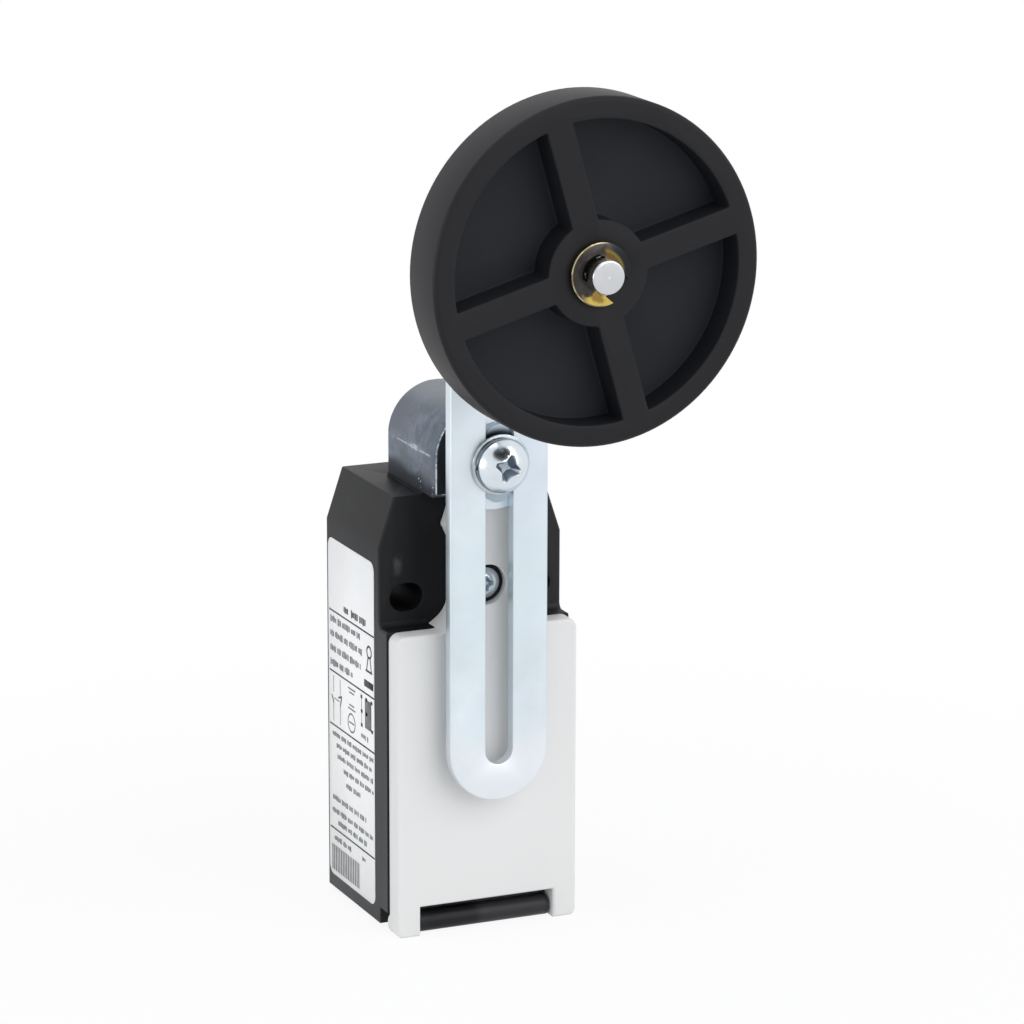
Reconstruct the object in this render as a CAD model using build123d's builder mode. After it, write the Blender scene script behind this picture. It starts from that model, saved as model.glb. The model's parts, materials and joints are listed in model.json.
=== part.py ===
from build123d import *
import os
from math import asin, cos, sin, sqrt

# Roller lever limit switch: housing with a hinged cover, die-cast head, slotted lever, roller.
# Frame, in millimetres: +X to the right seen from the front, +Y to the back, +Z up. The origin is
# on the mounting face, midway between the two fixing slots. Depths are measured forwards from the
# mounting face, so the plane of depth d is Y = -d.

# ---------------------------------------------------------------- driving sizes, millimetres
# Housing
body_width = 30.0
body_height = 66.9  # foot to the top of the housing
shoulder_drop = 20.0  # top of the housing to the step below the fixing lugs
ear_depth = 21.4  # mounting face to the front of the lugs
body_depth = 24.8  # mounting face to the seat of the cover
lean_height = 7.8  # sloping part of the flanks, at the top
lean = 2.6  # how far the flanks slope in
wall = 2.4
cavity_round = 1.5
edge_round = 0.5
step_round = 0.9  # hollow between the lugs and the step below them
floor_height = 12.0  # foot to the floor of the wiring space

# Fixing slots and cable entry
fixing_drop = 15.7  # top of the housing to the fixing slots
fixing_spacing = 21.0
fixing_width = 4.3
fixing_length = 5.3
entry_radius = 9.19  # core of an M20 x 1.5 thread
entry_depth = 12.4
entry_chamfer = 0.8

# Cover
cover_thickness = 3.3
cover_skin = 1.8
cover_wall = 2.2
cover_inset = 0.2  # side of the housing to the side of the cover
cover_corner = 1.5
foot_corner = 1.0
strip_half = 4.0  # tongue between the fixing slots
strip_flare = 1.0
flare_above = 3.0  # taper of the flare up to the tongue's top
flare_below = 2.2
strip_blend = 4.2
strip_top_inset = 0.3  # top of the housing to the top of the tongue
strip_wall = 1.3
tongue_corner = 1.25
leg_inner = 11.0  # centre line to the inside of the hinge legs
cutout_height = 4.1
gasket_width = 1.2
gasket_depth = 0.8

# Hinge
hinge_rise = 1.1  # foot to the hinge axis
hinge_offset = 0.8  # seat of the cover to the hinge axis
eye_radius = 1.6
eye_skin = 1.0  # closed end of the left eye
knuckle_radius = 1.6
hinge_pin_radius = 0.8

# Cover screw, M3
cover_screw_drop = 13.2  # top of the housing to the screw
cover_screw_end = 1.0  # end of the screw to the end of its insert
cover_screw_radius = 1.25  # thread root
cover_screw_head_radius = 2.4
cover_screw_head_height = 1.4
cover_screw_blade = 0.7
cover_hole_clearance = 0.4
cover_recess_radius = 3.1
cover_recess_depth = 2.2
seal_thickness = 0.7
insert_radius = 2.3
insert_length = 3.8

# Head
head_radius = 8.0
head_back = 8.0  # mounting face to the back of the head
head_length = 18.2
head_back_chamfer = 0.3
head_front_chamfer = 0.6
head_gasket_thickness = 0.4
shaft_rise = 6.0  # seat of the head to the shaft axis
spigot_radius = 4.2
spigot_length = 7.4
spigot_groove_radius = 3.5
retainer_thickness = 1.2
retainer_half = 4.8
retainer_drop = 5.7  # seat of the head to the underside of the retainer
peg_x = 5.8
peg_inset = 2.4
peg_radius = 0.9
peg_length = 1.5

# Shaft, bushes and seal
journal_radius = 3.5
bush_wall = 1.1
rear_journal_radius = 2.5
rear_bush_length = 2.0
drive_half = 2.75  # shaft axis to the flats that drive the hub
cam_radius = 4.1
cam_flat = 2.9  # shaft axis to the flat of the cam
cam_length = 5.4
seal_radius = 5.2
seal_length = 2.0

# Head plunger and its spring
plunger_depth = 14.6
plunger_bore_radius = 2.8
plunger_collar = 1.5
plunger_stem_radius = 1.4
plunger_stem_length = 9.2
guide_length = 1.6
plunger_spring_turns = 4
spring_wire = 0.6  # plunger spring and return spring

# Lever, hub and clamp screw (M4)
lever_clearance = 2.35  # cover to lever
hub_radius = 7.4
hub_flange = 0.8
hub_boss_radius = 5.0
key_half_length = 6.0
key_height = 1.4
hub_hole_clearance = 0.25
lever_thickness = 2.0
lever_chamfer = 0.2
lever_width = 15.8
lever_slot = 4.5
lever_tail = 44.25  # shaft axis to the centre of the lower round end
slot_top = 16.4  # shaft axis to the centre of the slot's upper end
arm_length = 35.1  # shaft axis to the roller axis
flat_washer_radius = 4.6
flat_washer_thickness = 0.5
spring_washer_radius = 4.2
spring_washer_thickness = 0.6
clamp_screw_radius = 2.0
clamp_head_radius = 4.0
clamp_head_height = 2.7
clamp_screw_length = 12.0
clamp_screw_blade = 1.1
clamp_screw_turn = -20.0  # how far its recess is turned, seen from the front

# Roller and its pin
roller_radius = 25.0
roller_width = 9.4
roller_rim = 3.2
roller_hub_radius = 7.65
roller_web = 1.4
roller_pocket = 5.0  # depth of the front pockets
roller_rib = 4.1
roller_rib_angle = 16.0
roller_ribs = 4
roller_standoff = 25.05  # front of the lever to the back of the roller
pin_radius = 2.5
roller_bush_wall = 1.0
spacer_radius = 4.25
thrust_washer_radius = 5.0
thrust_washer_thickness = 0.5
ring_radius = 4.6
ring_thickness = 0.7
ring_groove_depth = 0.5
ring_opening = -40.0
pin_end = 2.6  # ring to the end of the pin
rivet_radius = 2.0
rivet_head_radius = 2.75
rivet_head_height = 0.6

# Contact block
block_top_gap = 0.6
block_top_room = 1.1  # above the upper terminals
block_side = 0.2  # outside the terminals
chamber_half = 6.2
chamber_room = 2.85  # behind the carrier
lid_room = 1.45  # in front of the carrier
block_wall = 1.6
block_lid_thickness = 1.2
carrier_half = 2.6
carrier_post = 1.0
carrier_bar = 2.5
rod_radius = 1.8
rod_clearance = 0.4
terminal_metal = 0.8
terminal_width = 4.0
terminal_rise = 5.6
terminal_land = 0.6  # side of the chamber to a terminal
terminal_drop = 4.1  # chamber floor to the lower fixed contacts
bridge_metal = 0.6
bridge_width = 2.7
bridge_room = 0.4  # end of a bridge to the side of the chamber
tip_radius = 1.1
tip_height = 0.4
tip_inset = 0.1  # tip to the end of its bridge or strip
window_height = 8.5
contact_spring_wire = 0.36
contact_spring_turns = 4
return_spring_turns = 3
terminal_screw_radius = 1.45
terminal_screw_length = 6.0
terminal_head_radius = 2.1
terminal_head_height = 1.6
terminal_screw_blade = 0.6
clamp_plate = 4.2
block_screw_radius = 1.1
block_screw_length = 6.6
block_screw_head_radius = 1.9
block_screw_head_height = 1.4
block_screw_blade = 0.5
block_boss_radius = 2.2
block_boss_height = 4.0
block_floor = 2.2  # base left under a fixing screw's head

# Domed screw heads, as shares of the head's height or radius, and the points of all screws
head_side = 0.2  # straight part of the height
recess_reach = 0.62
recess_share = 0.75  # depth of the cross recess
recess_floor_share = 0.4  # size of the recess's bottom, as a share of its mouth
arm_tip = 0.3  # half width of a recess's arm at its end, as a share of the blade
arm_root = 0.9  # and where it meets the next arm
point_radius = 0.8  # share of the shank's radius

# Clearances
fit = 0.03  # running fit, radial
slide = 0.05  # sliding fit, each side
gap = 0.1
knuckle_gap = 0.3
hub_gap = 0.3  # head to hub
roller_play = 0.1
swing_clearance = 0.3  # round the cover screw, for its swing with the cover

# ---------------------------------------------------------------- planes and heights
top_z = fixing_drop
foot = top_z - body_height
shoulder_z = top_z - shoulder_drop
floor_z = foot + floor_height
ceiling_z = shoulder_z - wall
half = body_width / 2
cover_half = half - cover_inset
cover_front = body_depth + cover_thickness
hinge_z = foot + hinge_rise
hinge_depth = body_depth + hinge_offset
knuckle_half = leg_inner - knuckle_gap
eye_rise = sqrt(eye_radius**2 - hinge_offset**2)  # hinge axis to where the eye meets the plate
notch_z = hinge_z + eye_rise + gap
leg_z = hinge_z - eye_radius
tongue_top_z = top_z - strip_top_inset
cover_screw_z = top_z - cover_screw_drop
recess_floor = cover_front - cover_recess_depth
cover_screw_seat = recess_floor + seal_thickness
cover_screw_length = cover_screw_seat - (ear_depth - insert_length) - cover_screw_end
head_seat_z = top_z + head_gasket_thickness
shaft_z = head_seat_z + shaft_rise
retainer_z = head_seat_z - retainer_drop
retainer_back = plunger_depth - spigot_groove_radius + 2 * gap
retainer_front = ear_depth - 2 * gap
flare_z = retainer_z + retainer_thickness / 2
peg_places = [(x, -head_back - peg_inset) for x in (-peg_x, peg_x)]
head_front = head_back + head_length
hub_back = head_front + hub_gap
lever_back = cover_front + lever_clearance
lever_front = lever_back + lever_thickness
shaft_end = lever_back - 2 * gap
clamp_seat = lever_front + flat_washer_thickness + spring_washer_thickness
pin_z = shaft_z + arm_length
roller_back = lever_front + roller_standoff
roller_front = roller_back + roller_width
rim_radius = roller_radius - roller_rim
spacer_front = roller_back - roller_play - thrust_washer_thickness
ring_back = roller_front + 2 * roller_play
ring_front = ring_back + ring_thickness
stroke = cam_radius - cam_flat
collar_top_z = shaft_z - cam_radius - gap
collar_bottom_z = collar_top_z - plunger_collar
stem_bottom_z = collar_bottom_z - plunger_stem_length
spigot_bottom_z = head_seat_z - spigot_length
guide_top_z = spigot_bottom_z + guide_length
bore_radius = journal_radius + bush_wall
seal_back = head_front - seal_length
cam_front = plunger_depth + cam_length / 2
cam_back = plunger_depth - cam_length / 2
rear_bush_front = cam_back - 2 * gap
rear_bush_back = rear_bush_front - rear_bush_length
carrier_span = bridge_width / 2 + carrier_post
chamber_back = plunger_depth - carrier_span - chamber_room
lid_back = plunger_depth + carrier_span + lid_room
block_front = lid_back + block_lid_thickness
block_top_z = ceiling_z - block_top_gap
nc_strip_z = block_top_z - block_top_room - terminal_rise  # underside of the upper fixed contacts
window_top_z = nc_strip_z - 2 * tip_height
window_bottom_z = window_top_z - window_height
no_strip_z = window_bottom_z - gap - stroke - 2 * tip_height - terminal_metal  # lower contacts
carrier_bottom_z = window_bottom_z - carrier_bar
chamber_top_z = block_top_z - block_wall
chamber_bottom_z = no_strip_z - terminal_drop
block_bottom_z = chamber_bottom_z - block_wall
block_screw_z = (block_top_z + block_bottom_z) / 2
terminal_x = chamber_half + terminal_land + terminal_width / 2
block_half = terminal_x + terminal_width / 2 + block_side
bridge_half = chamber_half - bridge_room
tip_x = bridge_half - tip_inset - tip_radius
terminal_inner = tip_x - tip_radius - tip_inset  # centre line to the inner end of a fixed contact
block_screw_seat = wall + block_boss_height + block_floor
block_pilot_depth = block_screw_seat - block_screw_length - 2 * gap
terminal_seat = block_front + terminal_metal

side = Plane(origin=(0, 0, 0), x_dir=(0, -1, 0), z_dir=(-1, 0, 0))  # local x is depth, y is Z
shaft_plane = Plane(origin=(0, 0, shaft_z), x_dir=(0, -1, 0), z_dir=(-1, 0, 0))
pin_plane = Plane(origin=(0, 0, pin_z), x_dir=(0, -1, 0), z_dir=(-1, 0, 0))
screw_plane = Plane(origin=(0, 0, cover_screw_z), x_dir=(0, -1, 0), z_dir=(-1, 0, 0))
plunger_plane = Plane(origin=(0, -plunger_depth, 0), x_dir=(0, 0, 1), z_dir=(0, 1, 0))
entry_plane = Plane(origin=(0, -entry_depth, foot), x_dir=(0, 0, 1), z_dir=(0, 1, 0))


def front(depth):
    """The plane of one depth, seen from the front: local x is X, local y is Z."""
    return Plane.XZ.offset(depth)


def turn(plane, *profile, mode=Mode.ADD):
    """Revolve a closed (along, radius) profile about the local x axis of a plane."""
    with BuildSketch(plane) as section:
        with BuildLine():
            Polyline(*profile, close=True)
        make_face()
    revolve(section.sketch, axis=Axis(plane.origin, plane.x_dir), mode=mode)


def tube(plane, start, end, outer, inner=0.0, mode=Mode.ADD):
    """A plain ring, or a disc, along the local x axis of a plane."""
    turn(plane, (start, inner), (end, inner), (end, outer), (start, outer), mode=mode)


def slab(x, depth, z, mode=Mode.ADD):
    """A block between two X, two depths and two heights."""
    with BuildSketch(front(depth[0])) as section:
        with Locations(((x[0] + x[1]) / 2, (z[0] + z[1]) / 2)):
            Rectangle(x[1] - x[0], z[1] - z[0])
    extrude(section.sketch, amount=depth[1] - depth[0], mode=mode)


def cross_recess(plane, top, reach, blade, depth, angle):
    """A cross recess for a driver, its four arms closing in from the mouth to the floor."""
    tip, root = arm_tip * blade, arm_root * blade
    arm = [Vector(reach, -tip), Vector(reach, tip), Vector(root, root)]
    sections = []
    for drop, share in ((0, 1), (depth, recess_floor_share)):
        origin = plane.from_local_coords((top - drop, 0, 0))
        with BuildSketch(Plane(origin=origin, x_dir=(1, 0, 0), z_dir=plane.x_dir)) as cross:
            with BuildLine():
                turns = (angle + quarter * 90 for quarter in range(4))
                corners = [corner.rotate(Axis.Z, way) * share for way in turns for corner in arm]
                Polyline(*corners, close=True)
            make_face()
        sections.append(cross.sketch)
    loft(sections, ruled=True, mode=Mode.SUBTRACT)


def screw(plane, seat, head_radius, head_height, shank_radius, length, blade, angle=0.0):
    """A domed screw with a cross recess, its shank running back from the seat."""
    crown = seat + head_height
    rim = seat + head_height * head_side
    point = shank_radius * point_radius
    with BuildSketch(plane) as section:
        with BuildLine():
            Polyline(
                (crown, 0),
                (seat - length, 0),
                (seat - length, point),
                (seat - length + 2 * (shank_radius - point), shank_radius),
                (seat, shank_radius),
                (seat, head_radius),
                (rim, head_radius),
            )
            rise = crown - rim
            ball = (head_radius**2 + rise**2) / (2 * rise)
            half_turn = asin(head_radius / ball) / 2
            dome = (crown - ball * (1 - cos(half_turn)), ball * sin(half_turn))
            ThreePointArc((rim, head_radius), dome, (crown, 0))
        make_face()
    revolve(section.sketch, axis=Axis(plane.origin, plane.x_dir))
    depth = head_height * recess_share
    cross_recess(plane, crown, head_radius * recess_reach, blade, depth, angle)


def coil(centre, height, mean_radius, wire, turns):
    """A round-wire compression spring standing on centre, its ends flush with its height."""
    rise = height - wire
    start = Vector(*centre) + Vector(0, 0, wire / 2)
    with BuildLine():
        path = Helix(pitch=rise / turns, height=rise, radius=mean_radius, center=start)
    with BuildSketch(Plane(origin=path @ 0, z_dir=path % 0)) as section:
        RegularPolygon(wire / 2, 6)
    sweep(section.sketch, path=path, is_frenet=True)



def ring_round_cavity(depth, thickness, mode):
    """The closed ring in which the cover gasket lies, along the middle of the wall."""
    with BuildSketch(front(depth)) as section:
        with Locations((0, (floor_z + ceiling_z) / 2)):
            span = ceiling_z - floor_z
            outer = wall + gasket_width
            inner = wall - gasket_width
            RectangleRounded(body_width - 2 * wall + outer, span + outer, cavity_round + outer / 2)
            RectangleRounded(
                body_width - 2 * wall + inner, span + inner, cavity_round + inner / 2, mode=Mode.SUBTRACT
            )
    extrude(section.sketch, amount=thickness, mode=mode)


# ---------------------------------------------------------------- housing
with BuildPart() as housing:
    with BuildSketch(front(0)):
        with BuildLine():
            Polyline(
                (-half, foot),
                (half, foot),
                (half, top_z - lean_height),
                (half - lean, top_z),
                (lean - half, top_z),
                (-half, top_z - lean_height),
                close=True,
            )
        make_face()
    extrude(amount=ear_depth)
    with BuildSketch(side):
        with BuildLine():
            run, rise = ear_depth + step_round, shoulder_z + step_round
            hollow = step_round * sqrt(0.5)
            Polyline((ear_depth, rise), (0, rise), (0, foot), (body_depth, foot))
            Polyline((body_depth, foot), (body_depth, shoulder_z), (run, shoulder_z))
            ThreePointArc((run, shoulder_z), (run - hollow, rise - hollow), (ear_depth, rise))
        make_face()
    extrude(amount=half, both=True)
    fillet(housing.edges().filter_by(lambda edge: abs((edge % 0).Z) > 0.9), edge_round)

    # Hinge knuckle on its web, and the notches beside it for the eyes of the cover's legs.
    with BuildSketch(side):
        with Locations((hinge_depth, hinge_z)):
            Circle(knuckle_radius)
        with Locations((hinge_depth, hinge_z + knuckle_radius)):
            web = knuckle_radius + hinge_rise
            Rectangle(hinge_offset + wall, web, align=(Align.MAX, Align.MAX))
    extrude(amount=knuckle_half, both=True)
    for x in ((-body_width, -knuckle_half), (knuckle_half, body_width)):
        slab(x, (ear_depth, body_depth + wall), (foot - wall, notch_z), mode=Mode.SUBTRACT)
    with BuildSketch(side):
        with Locations((hinge_depth, hinge_z)):
            Circle(hinge_pin_radius + fit)
    extrude(amount=half, both=True, mode=Mode.SUBTRACT)

    # Wiring space, the groove round it, and the cable entry below it.
    with BuildSketch(front(wall)):
        with Locations((0, (floor_z + ceiling_z) / 2)):
            RectangleRounded(body_width - 2 * wall, ceiling_z - floor_z, cavity_round)
    extrude(amount=body_depth - wall, mode=Mode.SUBTRACT)
    ring_round_cavity(body_depth - gasket_depth, gasket_depth, Mode.SUBTRACT)
    turn(
        entry_plane,
        (0, 0),
        (floor_height, 0),
        (floor_height, entry_radius),
        (entry_chamfer, entry_radius),
        (0, entry_radius + entry_chamfer),
        mode=Mode.SUBTRACT,
    )

    # Bosses for the contact block's screws.
    with BuildSketch(front(wall)):
        with Locations((-terminal_x, block_screw_z), (terminal_x, block_screw_z)):
            Circle(block_boss_radius)
    extrude(amount=block_boss_height)
    with BuildSketch(front(block_pilot_depth)):
        with Locations((-terminal_x, block_screw_z), (terminal_x, block_screw_z)):
            Circle(block_screw_radius + slide)
    extrude(amount=wall + block_boss_height - block_pilot_depth, mode=Mode.SUBTRACT)

    # Neck: seat of the head's spigot, way of the plunger, slot of the retainer, peg holes.
    tube(plunger_plane, spigot_bottom_z - gap, top_z, spigot_radius + slide, mode=Mode.SUBTRACT)
    tube(plunger_plane, ceiling_z, spigot_bottom_z, rod_radius + rod_clearance, mode=Mode.SUBTRACT)
    slab(
        (-retainer_half - slide, retainer_half + slide),
        (retainer_back - gap, ear_depth),
        (retainer_z - slide, retainer_z + retainer_thickness + slide),
        mode=Mode.SUBTRACT,
    )
    with BuildSketch(Plane.XY.offset(top_z)):
        with Locations(*peg_places):
            Circle(peg_radius + slide)
    extrude(amount=-peg_length, mode=Mode.SUBTRACT)

    # Fixing slots through the lugs, and the bore of the threaded insert between them.
    with BuildSketch(front(0)):
        with GridLocations(fixing_spacing, 0, 2, 1):
            SlotOverall(fixing_length, fixing_width)
    extrude(amount=ear_depth, mode=Mode.SUBTRACT)
    tube(screw_plane, ear_depth - insert_length, ear_depth, insert_radius, mode=Mode.SUBTRACT)

with BuildPart() as screw_insert:
    tube(
        screw_plane,
        ear_depth - insert_length,
        ear_depth,
        insert_radius,
        cover_screw_radius + swing_clearance,
    )

# ---------------------------------------------------------------- cover and hinge
with BuildPart() as cover:
    # Plate with the hinge eyes, as seen from the side, cut to its outline from the front.
    with BuildSketch(side):
        with BuildLine():
            eye_end = (body_depth, hinge_z + eye_rise)
            Polyline(
                eye_end,
                (body_depth, shoulder_z),
                (cover_front, shoulder_z),
                (cover_front, leg_z),
                (hinge_depth, leg_z),
            )
            ThreePointArc((hinge_depth, leg_z), (hinge_depth - eye_radius, hinge_z), eye_end)
        make_face()
    extrude(amount=cover_half, both=True)
    with BuildSketch(front(ear_depth)) as face:
        with Locations((0, (leg_z + shoulder_z) / 2)):
            Rectangle(2 * cover_half, shoulder_z - leg_z)
        fillet(face.vertices().group_by(Axis.Y)[0], foot_corner)
        fillet(face.vertices().group_by(Axis.Y)[-1], cover_corner)
        with Locations((0, leg_z)):
            Rectangle(2 * leg_inner, 2 * (foot + cutout_height - leg_z), mode=Mode.SUBTRACT)
    extrude(amount=cover_front - ear_depth, mode=Mode.INTERSECT)

    # Tongue between the fixing slots, flared over the head's retainer.
    with BuildSketch(front(ear_depth + gap)) as tongue:
        with BuildLine():
            root = strip_half + strip_blend
            blend = strip_blend * (1 - sqrt(0.5))
            ThreePointArc(
                (root, shoulder_z),
                (strip_half + blend, shoulder_z + blend),
                (strip_half, shoulder_z + strip_blend),
            )
            Polyline(
                (strip_half, shoulder_z + strip_blend),
                (strip_half, flare_z - flare_below),
                (strip_half + strip_flare, flare_z),
                (strip_half, flare_z + flare_above),
                (strip_half - tongue_corner, tongue_top_z),
                (0, tongue_top_z),
                (0, shoulder_z - cover_wall / 2),
                (root, shoulder_z - cover_wall / 2),
                (root, shoulder_z),
            )
        make_face()
        mirror(about=Plane.YZ)
    extrude(amount=cover_front - ear_depth - gap)
    slab(
        (-half, half),
        (0, body_depth),
        (hinge_z + eye_radius, shoulder_z + gap),
        mode=Mode.SUBTRACT,
    )
    with BuildSketch(side):
        hollow_centre = (ear_depth + step_round, shoulder_z + step_round)
        with Locations(hollow_centre):
            Rectangle(step_round, step_round, align=Align.MAX)
            Circle(step_round - gap, mode=Mode.SUBTRACT)
    extrude(amount=half, both=True, mode=Mode.SUBTRACT)
    rim = cover.faces().sort_by(Axis.Y)[0].outer_wire().edges()
    fillet(rim, edge_round)

    # Hollow back: the room before the terminals, a core-out below it and one in the tongue.
    with BuildSketch(front(body_depth)):
        with Locations((0, (floor_z + ceiling_z) / 2)):
            spare = 2 * (wall - cover_wall)
            RectangleRounded(
                body_width - 2 * cover_wall, ceiling_z - floor_z + spare, cavity_round
            )
    extrude(amount=cover_thickness - cover_skin, mode=Mode.SUBTRACT)
    slab(
        (cover_wall - half, half - cover_wall),
        (body_depth, cover_front - cover_skin),
        (foot + cutout_height + cover_skin, floor_z - wall - strip_wall),
        mode=Mode.SUBTRACT,
    )
    slab(
        (strip_wall - strip_half, strip_half - strip_wall),
        (ear_depth, cover_front - cover_skin),
        (cover_screw_z + cover_recess_radius + strip_wall / 2, tongue_top_z - strip_wall),
        mode=Mode.SUBTRACT,
    )

    # Screw hole with its recess, and the bore of the hinge pin.
    hole_radius = cover_screw_radius + cover_hole_clearance
    tube(screw_plane, ear_depth, cover_front, hole_radius, mode=Mode.SUBTRACT)
    tube(screw_plane, recess_floor, cover_front, cover_recess_radius, mode=Mode.SUBTRACT)
    with BuildSketch(side.offset(cover_half - eye_skin)):
        with Locations((hinge_depth, hinge_z)):
            Circle(hinge_pin_radius + fit)
    extrude(amount=-body_width, mode=Mode.SUBTRACT)

with BuildPart() as cover_gasket:
    ring_round_cavity(body_depth - gasket_depth, gasket_depth, Mode.ADD)

with BuildPart() as hinge_pin:
    pin_start = cover_half - eye_skin - gap
    with BuildSketch(side.offset(pin_start)):
        with Locations((hinge_depth, hinge_z)):
            Circle(hinge_pin_radius)
    extrude(amount=-(pin_start + half - edge_round))

with BuildPart() as cover_screw:
    screw(
        screw_plane,
        cover_screw_seat,
        cover_screw_head_radius,
        cover_screw_head_height,
        cover_screw_radius,
        cover_screw_length,
        cover_screw_blade,
    )

with BuildPart() as screw_seal:
    tube(screw_plane, recess_floor, cover_screw_seat, cover_recess_radius - gap, cover_screw_radius + gap)

# ---------------------------------------------------------------- head
with BuildPart() as head_casting:
    with BuildSketch(front(head_back)):
        with BuildLine():
            Polyline(
                (head_radius, shaft_z),
                (head_radius, head_seat_z),
                (-head_radius, head_seat_z),
                (-head_radius, shaft_z),
            )
            ThreePointArc(
                (-head_radius, shaft_z), (0, shaft_z + head_radius), (head_radius, shaft_z)
            )
        make_face()
    extrude(amount=head_length)
    chamfer(head_casting.faces().sort_by(Axis.Y)[0].edges(), head_front_chamfer)
    chamfer(head_casting.faces().sort_by(Axis.Y)[-1].edges(), head_back_chamfer)

    # Spigot with the retainer's groove, and the pegs that keep the head from turning.
    tube(plunger_plane, spigot_bottom_z, head_seat_z + wall, spigot_radius)
    tube(
        plunger_plane,
        retainer_z - gap,
        retainer_z + retainer_thickness + gap,
        spigot_radius + wall,
        spigot_groove_radius,
        mode=Mode.SUBTRACT,
    )
    with BuildSketch(Plane.XY.offset(head_seat_z)):
        with Locations(*peg_places):
            Circle(peg_radius)
    extrude(amount=gap - head_gasket_thickness - peg_length)

    # One line bore for seal, bush and cam, a smaller one for the rear bush, and the plunger's.
    turn(
        shaft_plane,
        (rear_bush_back, 0),
        (head_front, 0),
        (head_front, seal_radius),
        (seal_back, seal_radius),
        (seal_back, bore_radius),
        (rear_bush_front, bore_radius),
        (rear_bush_front, rear_journal_radius + bush_wall),
        (rear_bush_back, rear_journal_radius + bush_wall),
        mode=Mode.SUBTRACT,
    )
    tube(plunger_plane, spigot_bottom_z, shaft_z, plunger_bore_radius, mode=Mode.SUBTRACT)

with BuildPart() as head_gasket:
    with BuildSketch(Plane.XY.offset(top_z)):
        with Locations((0, -(head_back + ear_depth) / 2)):
            Rectangle(2 * head_radius, ear_depth - head_back)
        with Locations((0, -plunger_depth)):
            Circle(spigot_radius + slide, mode=Mode.SUBTRACT)
        with Locations(*peg_places):
            Circle(peg_radius + slide, mode=Mode.SUBTRACT)
    extrude(amount=head_gasket_thickness)

with BuildPart() as head_retainer:
    with BuildSketch(Plane.XY.offset(retainer_z)):
        with Locations((0, -(retainer_back + retainer_front) / 2)):
            Rectangle(2 * retainer_half, retainer_front - retainer_back)
        with Locations((0, -plunger_depth)):
            Circle(spigot_groove_radius + slide, mode=Mode.SUBTRACT)
            Rectangle(
                2 * (spigot_groove_radius + slide),
                plunger_depth,
                align=(Align.CENTER, Align.MIN),
                mode=Mode.SUBTRACT,
            )
    extrude(amount=retainer_thickness)

with BuildPart() as front_bush:
    tube(shaft_plane, cam_front + 2 * gap, seal_back, bore_radius, journal_radius + fit)

with BuildPart() as rear_bush:
    bush_radius = rear_journal_radius + bush_wall
    tube(shaft_plane, rear_bush_back, rear_bush_front, bush_radius, rear_journal_radius + fit)

with BuildPart() as shaft_seal:
    tube(shaft_plane, seal_back, head_front - 2 * gap, seal_radius, journal_radius + fit)

with BuildPart() as cam_shaft:
    turn(
        shaft_plane,
        (rear_bush_back + gap, 0),
        (shaft_end, 0),
        (shaft_end, journal_radius),
        (cam_front, journal_radius),
        (cam_front, cam_radius),
        (cam_back, cam_radius),
        (cam_back, rear_journal_radius),
        (rear_bush_back + gap, rear_journal_radius),
    )
    # Flat of the cam, the two flats that drive the hub, and the clamp screw's hole.
    slab(
        (-body_width, body_width),
        (cam_back, cam_front),
        (shaft_z - 2 * cam_radius, shaft_z - cam_flat),
        mode=Mode.SUBTRACT,
    )
    for x in ((-body_width, -drive_half), (drive_half, body_width)):
        slab(x, (head_front + gap, shaft_end), (shaft_z - half, shaft_z + half), mode=Mode.SUBTRACT)
    tube(
        shaft_plane,
        clamp_seat - clamp_screw_length - 2 * gap,
        shaft_end,
        clamp_screw_radius + slide,
        mode=Mode.SUBTRACT,
    )

with BuildPart() as head_plunger:
    turn(
        plunger_plane,
        (stem_bottom_z, 0),
        (collar_top_z, 0),
        (collar_top_z, plunger_bore_radius - slide),
        (collar_bottom_z, plunger_bore_radius - slide),
        (collar_bottom_z, plunger_stem_radius),
        (stem_bottom_z, plunger_stem_radius),
    )

with BuildPart() as plunger_guide:
    tube(
        plunger_plane,
        spigot_bottom_z,
        guide_top_z,
        plunger_bore_radius,
        plunger_stem_radius + slide,
    )

with BuildPart() as plunger_spring:
    coil(
        (0, -plunger_depth, guide_top_z),
        collar_bottom_z - guide_top_z,
        (plunger_stem_radius + plunger_bore_radius) / 2,
        spring_wire,
        plunger_spring_turns,
    )

# ---------------------------------------------------------------- lever
with BuildPart() as lever_hub:
    turn(
        shaft_plane,
        (hub_back, 0),
        (lever_back, 0),
        (lever_back, hub_radius),
        (lever_back - hub_flange, hub_radius),
        (lever_back - hub_flange, hub_boss_radius),
        (hub_back, hub_boss_radius),
    )
    with BuildSketch(front(lever_back)):
        with Locations((0, shaft_z)):
            SlotOverall(2 * key_half_length, lever_slot - 2 * gap, rotation=90)
    extrude(amount=key_height)
    with BuildSketch(front(hub_back)):
        with Locations((0, shaft_z)):
            Circle(journal_radius + fit)
            Rectangle(2 * (drive_half + fit), 2 * hub_radius, mode=Mode.INTERSECT)
    extrude(amount=lever_back - hub_back, mode=Mode.SUBTRACT)
    hole_radius = clamp_screw_radius + hub_hole_clearance
    tube(shaft_plane, hub_back, lever_front, hole_radius, mode=Mode.SUBTRACT)

with BuildPart() as lever_arm:
    with BuildSketch(front(lever_back)):
        with Locations((0, shaft_z + (arm_length - lever_tail) / 2)):
            SlotCenterToCenter(arm_length + lever_tail, lever_width, rotation=90)
        with Locations((0, shaft_z + (slot_top - lever_tail) / 2)):
            SlotCenterToCenter(slot_top + lever_tail, lever_slot, rotation=90, mode=Mode.SUBTRACT)
        with Locations((0, pin_z)):
            Circle(rivet_radius, mode=Mode.SUBTRACT)
    extrude(amount=lever_thickness)
    chamfer(lever_arm.faces().sort_by(Axis.Y)[0].outer_wire().edges(), lever_chamfer)

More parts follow.
